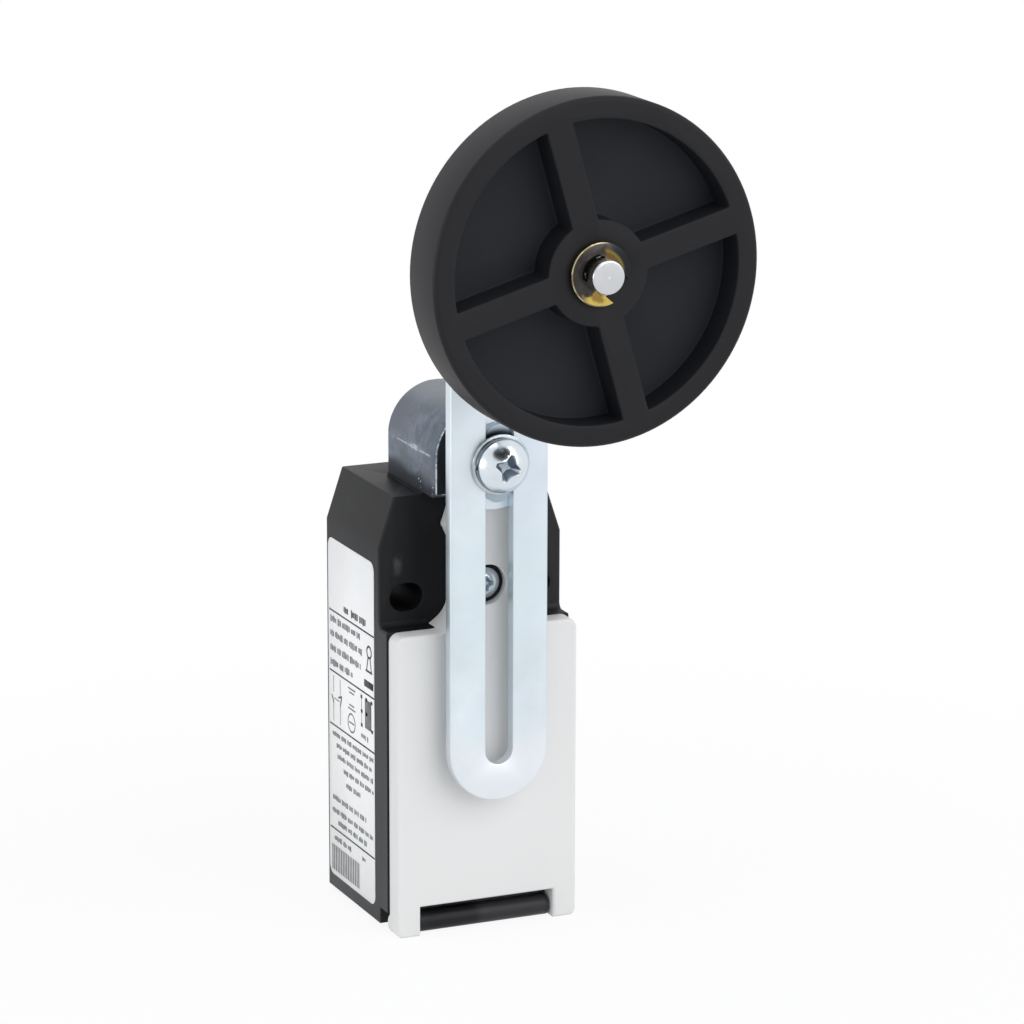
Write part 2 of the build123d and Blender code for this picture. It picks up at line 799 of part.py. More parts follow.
with BuildPart() as flat_washer:
    washer_front = lever_front + flat_washer_thickness
    tube(shaft_plane, lever_front, washer_front, flat_washer_radius, clamp_screw_radius + gap)

with BuildPart() as spring_washer:
    tube(shaft_plane, washer_front, clamp_seat, spring_washer_radius, clamp_screw_radius + gap)
    slab(
        (-flat_washer_radius, 0),
        (washer_front, clamp_seat),
        (shaft_z - spring_washer_thickness / 2, shaft_z + spring_washer_thickness / 2),
        mode=Mode.SUBTRACT,
    )

with BuildPart() as clamp_screw:
    screw(
        shaft_plane,
        clamp_seat,
        clamp_head_radius,
        clamp_head_height,
        clamp_screw_radius,
        clamp_screw_length,
        clamp_screw_blade,
        clamp_screw_turn,
    )

# ---------------------------------------------------------------- roller
with BuildPart() as roller_pin:
    turn(
        pin_plane,
        (lever_back - rivet_head_height, 0),
        (ring_front + pin_end, 0),
        (ring_front + pin_end, pin_radius - 2 * gap),
        (ring_front + pin_end - 2 * gap, pin_radius),
        (ring_front + gap / 2, pin_radius),
        (ring_front + gap / 2, pin_radius - ring_groove_depth),
        (ring_back - gap / 2, pin_radius - ring_groove_depth),
        (ring_back - gap / 2, pin_radius),
        (lever_front, pin_radius),
        (lever_front, rivet_radius),
        (lever_back, rivet_radius),
        (lever_back, rivet_head_radius),
        (lever_back - rivet_head_height, rivet_head_radius - 2 * gap),
    )

with BuildPart() as roller_spacer:
    tube(pin_plane, lever_front, spacer_front, spacer_radius, pin_radius + slide)

with BuildPart() as thrust_washer:
    washer_end = spacer_front + thrust_washer_thickness
    tube(pin_plane, spacer_front, washer_end, thrust_washer_radius, pin_radius + slide)

with BuildPart() as roller_bush:
    tube(pin_plane, roller_back, roller_front, pin_radius + roller_bush_wall, pin_radius + fit)

with BuildPart() as roller:
    turn(
        pin_plane,
        (roller_back, pin_radius + roller_bush_wall),
        (roller_front, pin_radius + roller_bush_wall),
        (roller_front, roller_hub_radius),
        (roller_front - roller_pocket, roller_hub_radius),
        (roller_front - roller_pocket, rim_radius),
        (roller_front, rim_radius),
        (roller_front, roller_radius - edge_round),
        (roller_front - edge_round, roller_radius),
        (roller_back + edge_round, roller_radius),
        (roller_back, roller_radius - edge_round),
        (roller_back, rim_radius),
        (roller_front - roller_pocket - roller_web, rim_radius),
        (roller_front - roller_pocket - roller_web, roller_hub_radius),
        (roller_back, roller_hub_radius),
    )
    with BuildSketch(front(roller_back)):
        with Locations((0, pin_z)):
            with PolarLocations((roller_hub_radius + rim_radius) / 2, roller_ribs, roller_rib_angle):
                Rectangle(rim_radius - roller_hub_radius + roller_rim, roller_rib)
    extrude(amount=roller_width)

with BuildPart() as retaining_ring:
    with BuildSketch(front(ring_back)):
        with Locations((0, pin_z)):
            Circle(ring_radius)
            Circle(pin_radius + gap, mode=Mode.SUBTRACT)
            with Locations(Rotation(0, 0, ring_opening)):
                Rectangle(
                    2 * ring_radius,
                    2 * (pin_radius - ring_groove_depth),
                    align=(Align.MIN, Align.CENTER),
                    mode=Mode.SUBTRACT,
                )
                with PolarLocations(pin_radius + gap, 3, 90, 180, endpoint=True):
                    Rectangle(2 * (ring_groove_depth + gap - slide), pin_radius)
    extrude(amount=ring_thickness)

# ---------------------------------------------------------------- contact block
sides = (-1, 1)


def mirrored(sign, near, far):
    """A pair of X limits on one side of the centre plane, in rising order."""
    return tuple(sorted((sign * near, sign * far)))


def terminal(sign, strip_z, up):
    """One fixed contact: tongue with its tip, and the upright that takes the terminal screw."""
    upright = mirrored(sign, terminal_x - terminal_width / 2, terminal_x + terminal_width / 2)
    tongue = mirrored(sign, terminal_inner, terminal_x + terminal_width / 2)
    half_width = terminal_width / 2
    strip = (strip_z, strip_z + terminal_metal)
    slab(tongue, (plunger_depth - half_width, plunger_depth + half_width), strip)
    slab(upright, (plunger_depth, block_front), strip)
    if up:
        rise = (strip_z, strip_z + terminal_rise)
        tip_z = strip_z - tip_height
    else:
        rise = (strip_z + terminal_metal - terminal_rise, strip_z + terminal_metal)
        tip_z = strip_z + terminal_metal
    slab(upright, (block_front - terminal_metal, block_front), rise)
    with BuildSketch(Plane.XY.offset(tip_z)) as tip:
        with Locations((sign * tip_x, -plunger_depth)):
            Circle(tip_radius)
    extrude(tip.sketch, amount=tip_height)
    with BuildSketch(front(block_front - terminal_metal)) as hole:
        with Locations((sign * terminal_x, screw_height(strip_z, up))):
            Circle(terminal_screw_radius + slide)
    extrude(hole.sketch, amount=terminal_metal, mode=Mode.SUBTRACT)


def screw_height(strip_z, up):
    """Height of a terminal's screw, in the middle of the free part of its upright."""
    free = (terminal_rise - terminal_metal) / 2
    return strip_z + terminal_metal + free if up else strip_z - free


def bridge(bottom_z, tip_z):
    """A moving contact bridge with a tip at each end."""
    width = bridge_width / 2
    metal = (bottom_z, bottom_z + bridge_metal)
    slab((-bridge_half, bridge_half), (plunger_depth - width, plunger_depth + width), metal)
    with BuildSketch(Plane.XY.offset(tip_z)) as tips:
        with Locations((-tip_x, -plunger_depth), (tip_x, -plunger_depth)):
            Circle(tip_radius)
    extrude(tips.sketch, amount=tip_height)


terminals = [
    (sign, strip_z, up) for strip_z, up in ((no_strip_z, False), (nc_strip_z, True)) for sign in sides
]
terminal_places = [(sign * terminal_x, screw_height(z, up)) for sign, z, up in terminals]
block_screw_places = [(sign * terminal_x, block_screw_z) for sign in sides]

with BuildPart() as contact_block:
    slab((-block_half, block_half), (wall, block_front), (block_bottom_z, block_top_z))
    slab(
        (-chamber_half, chamber_half),
        (chamber_back, block_front),
        (chamber_bottom_z, chamber_top_z),
        mode=Mode.SUBTRACT,
    )
    tube(plunger_plane, chamber_bottom_z, chamber_bottom_z + stroke, rod_radius / 2)
    tube(plunger_plane, chamber_top_z, block_top_z, rod_radius + slide, mode=Mode.SUBTRACT)

    # Seats of the four terminals, open to the front, and the pilot holes behind them.
    for sign, strip_z, up in terminals:
        inner = terminal_x - terminal_width / 2 - slide
        reach = mirrored(sign, chamber_half - gap, block_half)
        bay = mirrored(sign, inner, block_half)
        strip = (strip_z - slide, strip_z + terminal_metal + slide)
        back = plunger_depth - terminal_width / 2 - slide
        slab(reach, (back, block_front), strip, mode=Mode.SUBTRACT)
        rise = terminal_rise + slide
        edge = strip_z if up else strip_z + terminal_metal
        bay_z = (edge - slide, edge + rise) if up else (edge - rise, edge + slide)
        slab(bay, (block_front - terminal_metal - slide, block_front), bay_z, mode=Mode.SUBTRACT)
    with BuildSketch(front(terminal_seat - terminal_screw_length)):
        with Locations(*terminal_places):
            Circle(terminal_screw_radius + slide)
    extrude(amount=terminal_screw_length, mode=Mode.SUBTRACT)

    # Fixing: pockets over the housing's bosses, through holes and counterbores.
    with BuildSketch(front(wall)):
        with Locations(*block_screw_places):
            Circle(block_boss_radius + gap)
    extrude(amount=block_boss_height + slide, mode=Mode.SUBTRACT)
    with BuildSketch(front(wall)):
        with Locations(*block_screw_places):
            Circle(block_screw_radius + gap)
    extrude(amount=block_front - wall, mode=Mode.SUBTRACT)
    with BuildSketch(front(block_screw_seat)):
        with Locations(*block_screw_places):
            Circle(block_screw_head_radius + 2 * gap)
    extrude(amount=block_front - block_screw_seat, mode=Mode.SUBTRACT)

with BuildPart() as contact_block_lid:
    slab(
        (slide - chamber_half, chamber_half - slide),
        (lid_back, block_front),
        (chamber_bottom_z + slide, chamber_top_z - slide),
    )

with BuildPart() as contact_carrier:
    slab(
        (-carrier_half, carrier_half),
        (plunger_depth - carrier_span, plunger_depth + carrier_span),
        (carrier_bottom_z, window_top_z + carrier_bar),
    )
    tube(plunger_plane, window_top_z + carrier_bar, stem_bottom_z - gap, rod_radius)
    slab(
        (-carrier_half, carrier_half),
        (plunger_depth - bridge_width / 2 - slide, plunger_depth + bridge_width / 2 + slide),
        (window_bottom_z, window_top_z),
        mode=Mode.SUBTRACT,
    )

with BuildPart() as lower_bridge:
    bridge(window_bottom_z, window_bottom_z - tip_height)

with BuildPart() as upper_bridge:
    bridge(window_top_z - bridge_metal, window_top_z)

with BuildPart() as contact_spring:
    coil(
        (0, -plunger_depth, window_bottom_z + bridge_metal),
        window_height - 2 * bridge_metal,
        (bridge_width - spring_wire) / 2,
        contact_spring_wire,
        contact_spring_turns,
    )

with BuildPart() as return_spring:
    coil(
        (0, -plunger_depth, chamber_bottom_z),
        carrier_bottom_z - chamber_bottom_z,
        rod_radius,
        spring_wire,
        return_spring_turns,
    )

with BuildPart() as lower_terminals:
    for sign in sides:
        terminal(sign, no_strip_z, False)

with BuildPart() as upper_terminals:
    for sign in sides:
        terminal(sign, nc_strip_z, True)

with BuildPart() as terminal_clamps:
    with BuildSketch(front(block_front)):
        with Locations(*terminal_places):
            Rectangle(clamp_plate, clamp_plate)
            Circle(terminal_screw_radius + gap, mode=Mode.SUBTRACT)
    extrude(amount=terminal_metal)

with BuildPart() as terminal_screws:
    for x, z in terminal_places:
        screw(
            Plane(origin=(x, 0, z), x_dir=(0, -1, 0), z_dir=(-1, 0, 0)),
            terminal_seat,
            terminal_head_radius,
            terminal_head_height,
            terminal_screw_radius,
            terminal_screw_length,
            terminal_screw_blade,
        )

with BuildPart() as block_screws:
    for x, z in block_screw_places:
        screw(
            Plane(origin=(x, 0, z), x_dir=(0, -1, 0), z_dir=(-1, 0, 0)),
            block_screw_seat,
            block_screw_head_radius,
            block_screw_head_height,
            block_screw_radius,
            block_screw_length,
            block_screw_blade,
        )

# ---------------------------------------------------------------- labels and files
pieces = {
    "housing": housing,
    "screw_insert": screw_insert,
    "cover": cover,
    "cover_gasket": cover_gasket,
    "hinge_pin": hinge_pin,
    "cover_screw": cover_screw,
    "screw_seal": screw_seal,
    "head_casting": head_casting,
    "head_gasket": head_gasket,
    "head_retainer": head_retainer,
    "front_bush": front_bush,
    "rear_bush": rear_bush,
    "shaft_seal": shaft_seal,
    "cam_shaft": cam_shaft,
    "head_plunger": head_plunger,
    "plunger_guide": plunger_guide,
    "plunger_spring": plunger_spring,
    "lever_hub": lever_hub,
    "lever_arm": lever_arm,
    "flat_washer": flat_washer,
    "spring_washer": spring_washer,
    "clamp_screw": clamp_screw,
    "roller_pin": roller_pin,
    "roller_spacer": roller_spacer,
    "thrust_washer": thrust_washer,
    "roller_bush": roller_bush,
    "roller": roller,
    "retaining_ring": retaining_ring,
    "contact_block": contact_block,
    "contact_block_lid": contact_block_lid,
    "contact_carrier": contact_carrier,
    "lower_bridge": lower_bridge,
    "upper_bridge": upper_bridge,
    "contact_spring": contact_spring,
    "return_spring": return_spring,
    "lower_terminals": lower_terminals,
    "upper_terminals": upper_terminals,
    "terminal_clamps": terminal_clamps,
    "terminal_screws": terminal_screws,
    "block_screws": block_screws,
}
os.makedirs("parts", exist_ok=True)
for name, piece in pieces.items():
    piece.part.label = name
    export_step(piece.part, f"parts/{name}.step")
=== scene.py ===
# %% [markdown]
# # Looks of a limit switch with a long roller lever
#
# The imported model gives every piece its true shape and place, in metres, with the origin on the
# mounting face between the two fixing slots. This lesson dresses those pieces: it rounds the edges
# that a mould or a press leaves round, adds the printed label, and gives each finish its own
# procedural material. Nothing here moves or resizes a piece of the model.

# %% Load the frame
import json
import math
import random

import bmesh
import bpy
from mathutils import Matrix, Vector


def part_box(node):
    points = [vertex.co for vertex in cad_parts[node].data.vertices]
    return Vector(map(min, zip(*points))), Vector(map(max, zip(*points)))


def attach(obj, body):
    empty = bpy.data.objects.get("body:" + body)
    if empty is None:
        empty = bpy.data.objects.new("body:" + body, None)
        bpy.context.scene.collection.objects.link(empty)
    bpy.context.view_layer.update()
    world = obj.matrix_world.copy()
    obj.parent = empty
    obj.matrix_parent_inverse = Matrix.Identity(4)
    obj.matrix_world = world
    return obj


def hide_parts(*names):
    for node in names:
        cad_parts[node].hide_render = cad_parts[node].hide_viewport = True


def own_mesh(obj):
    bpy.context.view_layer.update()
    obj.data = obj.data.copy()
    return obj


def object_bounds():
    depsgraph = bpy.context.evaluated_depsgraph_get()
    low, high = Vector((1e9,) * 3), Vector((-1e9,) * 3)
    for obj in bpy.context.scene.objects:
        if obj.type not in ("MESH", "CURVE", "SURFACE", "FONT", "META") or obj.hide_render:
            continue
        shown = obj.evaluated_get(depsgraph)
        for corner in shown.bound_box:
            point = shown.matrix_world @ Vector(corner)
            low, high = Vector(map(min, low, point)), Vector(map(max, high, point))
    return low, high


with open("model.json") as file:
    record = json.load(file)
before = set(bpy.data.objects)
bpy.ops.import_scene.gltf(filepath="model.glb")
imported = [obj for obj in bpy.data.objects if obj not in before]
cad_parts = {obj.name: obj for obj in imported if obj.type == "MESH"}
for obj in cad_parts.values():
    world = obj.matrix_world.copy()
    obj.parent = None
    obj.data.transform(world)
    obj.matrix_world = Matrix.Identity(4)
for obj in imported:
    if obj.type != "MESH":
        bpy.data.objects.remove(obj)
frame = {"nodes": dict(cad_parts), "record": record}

MM = 0.001
cad_low, cad_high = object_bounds()
BODY_OF = {node: body for body, nodes in frame["record"]["behaviour"]["bodies"].items() for node in nodes}
SLOT_OF = {entry["node"]: entry["material_slot"] for entry in frame["record"]["subparts"]}
print("nodes", len(BODY_OF), "model box, mm", [round(v / MM, 1) for v in (cad_high - cad_low)])

# %% [markdown]
# ## Measuring the model
#
# Places are read from the boxes of the model's pieces, so a label or a worn edge stays on its
# surface when the model changes.

# %% Places on the model
X, Y, Z = range(3)


def low(node, axis):
    """Lowest coordinate of a node along an axis, in metres."""
    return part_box(node)[0][axis]


def high(node, axis):
    """Highest coordinate of a node along an axis, in metres."""
    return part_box(node)[1][axis]


def centre(node):
    """Middle of a node's box."""
    return (Vector(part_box(node)[0]) + Vector(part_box(node)[1])) / 2


TOP = high("housing", Z)
FLANK = low("housing", X)
SHAFT = centre("front_bush")
ROLLER = centre("roller")
HEAD_FRONT = low("head_casting", Y)
print("top", round(TOP / MM, 2), "left flank", round(FLANK / MM, 2), "roller axis", ROLLER / MM)

# %% [markdown]
# ## Camera
#
# A long lens some seventy centimetres away keeps the switch's edges almost parallel, as a product
# view does. The camera stands to the front left, a little above the switch, and looks down at it.

# %% Camera
CAMERA_PLACE = Vector((-0.2709, -0.65151, 0.18606))
YAW, PITCH, ROLL = math.radians(23.789), math.radians(14.224), math.radians(0.144)
FOCAL_MM, SENSOR_MM = 164.96, 36.0
CLIP_NEAR, CLIP_FAR = 0.01, 20

ahead = Vector((math.sin(YAW) * math.cos(PITCH), math.cos(YAW) * math.cos(PITCH), -math.sin(PITCH)))
right = Vector((math.cos(YAW), -math.sin(YAW), 0))
up = right.cross(ahead)
camera_right = right * math.cos(ROLL) + up * math.sin(ROLL)
camera_up = up * math.cos(ROLL) - right * math.sin(ROLL)
facing = Matrix((camera_right, camera_up, -ahead)).transposed()

camera = bpy.data.objects.new("camera", bpy.data.cameras.new("camera"))
camera.data.lens, camera.data.sensor_width = FOCAL_MM, SENSOR_MM
camera.data.clip_start, camera.data.clip_end = CLIP_NEAR, CLIP_FAR
camera.matrix_world = Matrix.Translation(CAMERA_PLACE) @ facing.to_4x4()
bpy.context.collection.objects.link(camera)
bpy.context.scene.camera = camera
print("camera", round((CAMERA_PLACE - ROLLER).length, 3), "m from the roller")

# %% [markdown]
# ## Material trees in a few words
#
# A material is a tree of nodes, and a tree is quicker to read when each node is one line. These
# helpers add a node, link sockets, read the place on a piece, and turn a place into a mask that
# fades from nothing to full between two places.

# %% Nodes by name
# A Mix node has sockets for every kind of value: the first and second input and the result of two.
MIX_SOCKETS = {"RGBA": (6, 7, 2), "FLOAT": (2, 3, 0)}


def add(tree, kind, **values):
    """A node of a tree. Its values are inputs by name, or settings of the node itself."""
    node = tree.nodes.new("ShaderNode" + kind)
    for key, value in values.items():
        if hasattr(node, key):
            setattr(node, key, value)
        else:
            node.inputs[key.replace("_", " ")].default_value = value
    return node


def join(tree, *steps):
    """Links pairs of sockets."""
    for start, end in steps:
        tree.links.new(start, end)


def math_node(tree, operation, *values):
    """The result of a sum on sockets or numbers."""
    node = add(tree, "Math", operation=operation)
    for socket, value in zip(node.inputs, values):
        if isinstance(value, (int, float)):
            socket.default_value = value
        else:
            tree.links.new(value, socket)
    return node.outputs[0]


# %% Places and masks in a material
def along(tree, axis):
    """The coordinate of a point of the piece along an axis, in metres."""
    place = add(tree, "TexCoord")
    split = add(tree, "SeparateXYZ")
    join(tree, (place.outputs["Object"], split.inputs[0]))
    return split.outputs[axis]


def away(tree, axis, value):
    """How far a point of the piece is from a place along an axis, in metres."""
    return math_node(tree, "ABSOLUTE", math_node(tree, "SUBTRACT", along(tree, axis), value))


def spread(tree, middle, axes):
    """Distance of a point of the piece from a middle, over two or three axes, in metres."""
    total = 0.0
    for axis in axes:
        offset = math_node(tree, "SUBTRACT", along(tree, axis), middle[axis])
        total = math_node(tree, "ADD", math_node(tree, "MULTIPLY", offset, offset), total)
    return math_node(tree, "SQRT", total)


def fade(tree, value, start, end):
    """A mask: 0 where the value is at start, 1 where it is at end, and smooth between."""
    ramp = add(tree, "MapRange", interpolation_type="SMOOTHSTEP", From_Min=start, From_Max=end)
    join(tree, (value, ramp.inputs["Value"]))
    return ramp.outputs["Result"]


def specks(tree, scale, start, end, detail=3.0):
    """A mask of irregular patches, scale per metre. It fades in as the noise rises to end."""
    place = add(tree, "TexCoord")
    noise = add(tree, "TexNoise", Scale=scale, Detail=detail, Roughness=0.6)
    join(tree, (place.outputs["Object"], noise.inputs["Vector"]))
    return fade(tree, noise.outputs["Fac"], start, end)


def both(tree, *masks):
    """The overlap of masks."""
    result = masks[0]
    for mask in masks[1:]:
        result = math_node(tree, "MULTIPLY", result, mask)
    return result


def layer(material, mask, colour=None, rough=None, share=1.0):
    """Lays a colour, a roughness or both over a finish, where the mask is 1."""
    tree = material.node_tree
    shader = tree.nodes["Principled BSDF"]
    for name, kind, value in (("Base Color", "RGBA", colour), ("Roughness", "FLOAT", rough)):
        if value is None:
            continue
        first, second, result = MIX_SOCKETS[kind]
        mix = add(tree, "Mix", data_type=kind)
        source = shader.inputs[name].links[0].from_socket
        mix.inputs[second].default_value = (*value, 1) if kind == "RGBA" else value
        join(
            tree,
            (math_node(tree, "MULTIPLY", mask, share), mix.inputs[0]),
            (source, mix.inputs[first]),
            (mix.outputs[result], shader.inputs[name]),
        )


# %% [markdown]
# ## Light and ground
#
# A white room: an even sky and three soft lamps. The lamp on the left lights the flank, the one
# above lights the tops, and the one at the front right fills the cover and draws the lever's soft
# shadow on it.
#
# The white behind the switch could be a curved paper sweep, but that shows its bend in some views.
# Instead the camera and polished metal see plain white wherever a ray misses the switch, and the
# ground is a flat sheet, also plain white for them, that keeps a share of the soft shadow near the
# switch. Only its upper side is there for the camera, so the foot can be looked at from below.

# %% World
world = bpy.data.worlds.new("white_room")
bpy.context.scene.world = world
world.use_nodes = True
tree = world.node_tree
tree.nodes.clear()
sky = add(tree, "Background", Color=(0.94, 0.97, 1.0, 1), Strength=0.64)
backdrop = add(tree, "Background", Color=(1, 1, 1, 1), Strength=1.0)
path = add(tree, "LightPath")
direct = math_node(tree, "MAXIMUM", path.outputs["Is Camera Ray"], path.outputs["Is Glossy Ray"])
plain_white = math_node(tree, "MAXIMUM", direct, path.outputs["Is Transmission Ray"])
mix = add(tree, "MixShader")
out = add(tree, "OutputWorld")
join(
    tree,
    (plain_white, mix.inputs["Fac"]),
    (sky.outputs[0], mix.inputs[1]),
    (backdrop.outputs[0], mix.inputs[2]),
    (mix.outputs[0], out.inputs["Surface"]),
)
print("sky strength", round(sky.inputs["Strength"].default_value, 2))


# %% Lamps
def soft_lamp(name, place, aim, size, watts):
    """A square area lamp at place, facing aim."""
    lamp = bpy.data.objects.new(name, bpy.data.lights.new(name, "AREA"))
    lamp.data.energy, lamp.data.size = watts, size
    lamp.location = place
    lamp.rotation_mode = "QUATERNION"
    lamp.rotation_quaternion = (Vector(aim) - Vector(place)).to_track_quat("-Z", "Y")
    bpy.context.collection.objects.link(lamp)
    print(name, watts, "W")


MIDDLE = Vector((0, -0.03, 0.01))
soft_lamp("front_lamp", place=(0.45, -0.85, 0.55), aim=MIDDLE, size=1.1, watts=6.1)
soft_lamp("flank_lamp", place=(-0.9, -0.07, -0.05), aim=MIDDLE, size=0.6, watts=3.75)
soft_lamp("top_lamp", place=(-0.15, 0.05, 0.9), aim=MIDDLE, size=0.5, watts=1.15)

# %% Ground
GROUND_HALF = 4.0
GROUND_GAP = 0.02 * MM
bm = bmesh.new()
bmesh.ops.create_grid(bm, x_segments=1, y_segments=1, size=GROUND_HALF)
bmesh.ops.translate(bm, verts=bm.verts, vec=(0, 0, cad_low.z - GROUND_GAP))
ground_mesh = bpy.data.meshes.new("ground")
bm.to_mesh(ground_mesh)
bm.free()
ground = bpy.data.objects.new("ground", ground_mesh)
bpy.context.collection.objects.link(ground)
print("ground at", round(cad_low.z / MM, 2), "mm")

# %% White paper on the ground
PAPER_TONE = 0.9
SHADOW_SHARE = 0.1
SHADOW_NEAR, SHADOW_FAR = 0.06, 0.2
paper = bpy.data.materials.new("white_paper")
paper.use_nodes = True
tree = paper.node_tree
tree.nodes.clear()
matt = add(tree, "BsdfDiffuse", Color=(PAPER_TONE, PAPER_TONE, PAPER_TONE, 1))
white = add(tree, "Emission", Color=(1, 1, 1, 1))
clear = add(tree, "BsdfTransparent")
path = add(tree, "LightPath")
direct = math_node(tree, "MAXIMUM", path.outputs["Is Camera Ray"], path.outputs["Is Glossy Ray"])
near = fade(tree, spread(tree, MIDDLE, (X, Y)), SHADOW_FAR, SHADOW_NEAR)
bare = math_node(tree, "SUBTRACT", 1.0, math_node(tree, "MULTIPLY", near, SHADOW_SHARE))
side = add(tree, "NewGeometry")
seen_from_below = math_node(tree, "MULTIPLY", side.outputs["Backfacing"], path.outputs["Is Camera Ray"])
upper = add(tree, "MixShader")
sheet = add(tree, "MixShader")
out = add(tree, "OutputMaterial")
join(
    tree,
    (math_node(tree, "MULTIPLY", direct, bare), upper.inputs["Fac"]),
    (matt.outputs[0], upper.inputs[1]),
    (white.outputs[0], upper.inputs[2]),
    (seen_from_below, sheet.inputs["Fac"]),
    (upper.outputs[0], sheet.inputs[1]),
    (clear.outputs[0], sheet.inputs[2]),
    (sheet.outputs[0], out.inputs["Surface"]),
)
ground.data.materials.append(paper)
print("shadow shows up to", round(SHADOW_FAR / MM), "mm from the switch")

# %% [markdown]
# ## One recipe for all finishes
#
# Every surface of the switch shows three things: a colour that wanders a little, a gloss that
# wanders with it, and a fine grain that catches the light. Each finish could be a tree of its own,
# but they would differ only in numbers. So one function lays all three on Object coordinates, in
# metres, and the grain has its true size on every piece. What is special to one finish, such as a
# scratch or a tarnished patch, is laid over it afterwards.

# %% The recipe
NOISE_LOW, NOISE_HIGH = 0.3, 0.7


def finish(name, colour, wander=0.06, patch=120.0, rough=0.5, rough_wander=0.05, metallic=0.0,
           gloss=0.5, grain=2500.0, depth=0.01):
    """A material with a wandering colour and gloss and a fine grain.

    Patch and grain are how many come in a metre, and depth is the grain's, in mm."""
    material = bpy.data.materials.new(name)
    material.use_nodes = True
    tree = material.node_tree
    shader = tree.nodes["Principled BSDF"]
    shader.inputs["Metallic"].default_value = metallic
    shader.inputs["Specular IOR Level"].default_value = gloss
    place = add(tree, "TexCoord")
    broad = add(tree, "TexNoise", Scale=patch, Detail=4.0, Roughness=0.55)
    tone = add(tree, "ValToRGB")
    darker, lighter = tone.color_ramp.elements
    darker.position, lighter.position = NOISE_LOW, NOISE_HIGH
    darker.color = (*[c * (1 - wander) for c in colour], 1)
    lighter.color = (*[min(c * (1 + wander), 1) for c in colour], 1)
    sheen = add(tree, "MapRange", From_Min=NOISE_LOW, From_Max=NOISE_HIGH,
                To_Min=rough - rough_wander, To_Max=rough + rough_wander)
    fine = add(tree, "TexNoise", Scale=grain, Detail=2.0)
    bump = add(tree, "Bump", Strength=1.0, Distance=depth * MM)
    join(
        tree,
        (place.outputs["Object"], broad.inputs["Vector"]),
        (place.outputs["Object"], fine.inputs["Vector"]),
        (broad.outputs["Fac"], tone.inputs["Fac"]),
        (broad.outputs["Fac"], sheen.inputs["Value"]),
        (tone.outputs["Color"], shader.inputs["Base Color"]),
        (sheen.outputs["Result"], shader.inputs["Roughness"]),
        (fine.outputs["Fac"], bump.inputs["Height"]),
        (bump.outputs["Normal"], shader.inputs["Normal"]),
    )
    return material


# %% [markdown]
# ## Housing
#
# The housing is black glass-filled plastic with a satin skin, with light and shade painted on it.
# Its flanks carry a painted sheen that is heavier low down, the hinge knuckle at its foot is painted
# lighter for the light the ground throws on it, and the ear beside the left fixing slot has a small
# painted highlight. The right ear is a little lighter than the rest. The hollow beside the left ear
# and the narrow lip behind the cover get the least light, so they carry painted shade and are the
# darkest places.
#
# Such painted marks could be laid on an unwrapped skin. Masks between measured places need no
# unwrapping, stay sharp at any distance, and can be moved by changing one number.

# %% Black plastic with painted sheen and painted light
housing_black = finish(
    "housing_black", (0.0088, 0.0093, 0.0108), wander=0.06, rough=0.5, rough_wander=0.02,
    gloss=0.22, grain=3200.0, depth=0.005,
)
tree = housing_black.node_tree
HALF_WIDTH = -FLANK
SHEEN_TOP, SHEEN_FULL = TOP - 3 * MM, TOP - 26 * MM
KNUCKLE_TOP = low("housing", Z) + 4 * MM
off_middle = math_node(tree, "ABSOLUTE", along(tree, X))
# Painted sheen: the flanks are made lighter, more so low down.
flank_sheen = both(
    tree,
    fade(tree, off_middle, HALF_WIDTH - 0.3 * MM, HALF_WIDTH - 0.05 * MM),
    fade(tree, along(tree, Z), SHEEN_TOP, SHEEN_FULL),
)
layer(housing_black, flank_sheen, colour=(0.038, 0.039, 0.044))
# Painted light: the hinge knuckle is made lighter for the light the ground throws on it.
painted_knuckle_light = both(
    tree,
    fade(tree, along(tree, Z), KNUCKLE_TOP, KNUCKLE_TOP - 1 * MM),
    fade(tree, off_middle, 11.3 * MM, 11.1 * MM),
    fade(tree, along(tree, Y), -20 * MM, -22 * MM),
)
layer(housing_black, painted_knuckle_light, colour=(0.026, 0.026, 0.030), rough=0.42)
print("dust from", round(SHEEN_TOP / MM, 1), "mm down, full at", round(SHEEN_FULL / MM, 1), "mm")

# %% Painted shade on the lip behind the cover
BODY_FRONT = -24.8 * MM
LIP_TOP = TOP - 19 * MM
# Painted shade: the narrow lip behind the cover is made almost black.
lip = both(
    tree,
    fade(tree, off_middle, HALF_WIDTH - 0.3 * MM, HALF_WIDTH - 0.2 * MM),
    fade(tree, along(tree, Y), BODY_FRONT + 0.4 * MM, BODY_FRONT + 0.25 * MM),
    fade(tree, along(tree, Z), LIP_TOP, TOP - 20 * MM),
)
layer(housing_black, lip, colour=(0.004, 0.004, 0.005), rough=0.8)
print("lip from", round(LIP_TOP / MM, 1), "mm down")

# %% The two ears, painted shade in the hollow and a painted highlight
front_part = fade(tree, along(tree, Y), -8 * MM, -10 * MM)
# Painted shade: the hollow beside the left ear is darkened towards the lever.
hollow_shade = both(
    tree,
    front_part,
    fade(tree, along(tree, X), -13.5 * MM, -8 * MM),
    fade(tree, along(tree, X), 0, -2 * MM),
    fade(tree, along(tree, Z), TOP, TOP - 8 * MM),
)
layer(housing_black, hollow_shade, colour=(0.0035, 0.0038, 0.0050), share=0.85)
right_ear = both(
    tree,
    fade(tree, along(tree, Y), BODY_FRONT, BODY_FRONT + 1 * MM),
    front_part,
    fade(tree, along(tree, X), 8 * MM, 9 * MM),
)
layer(housing_black, right_ear, colour=(0.0135, 0.0138, 0.0155))
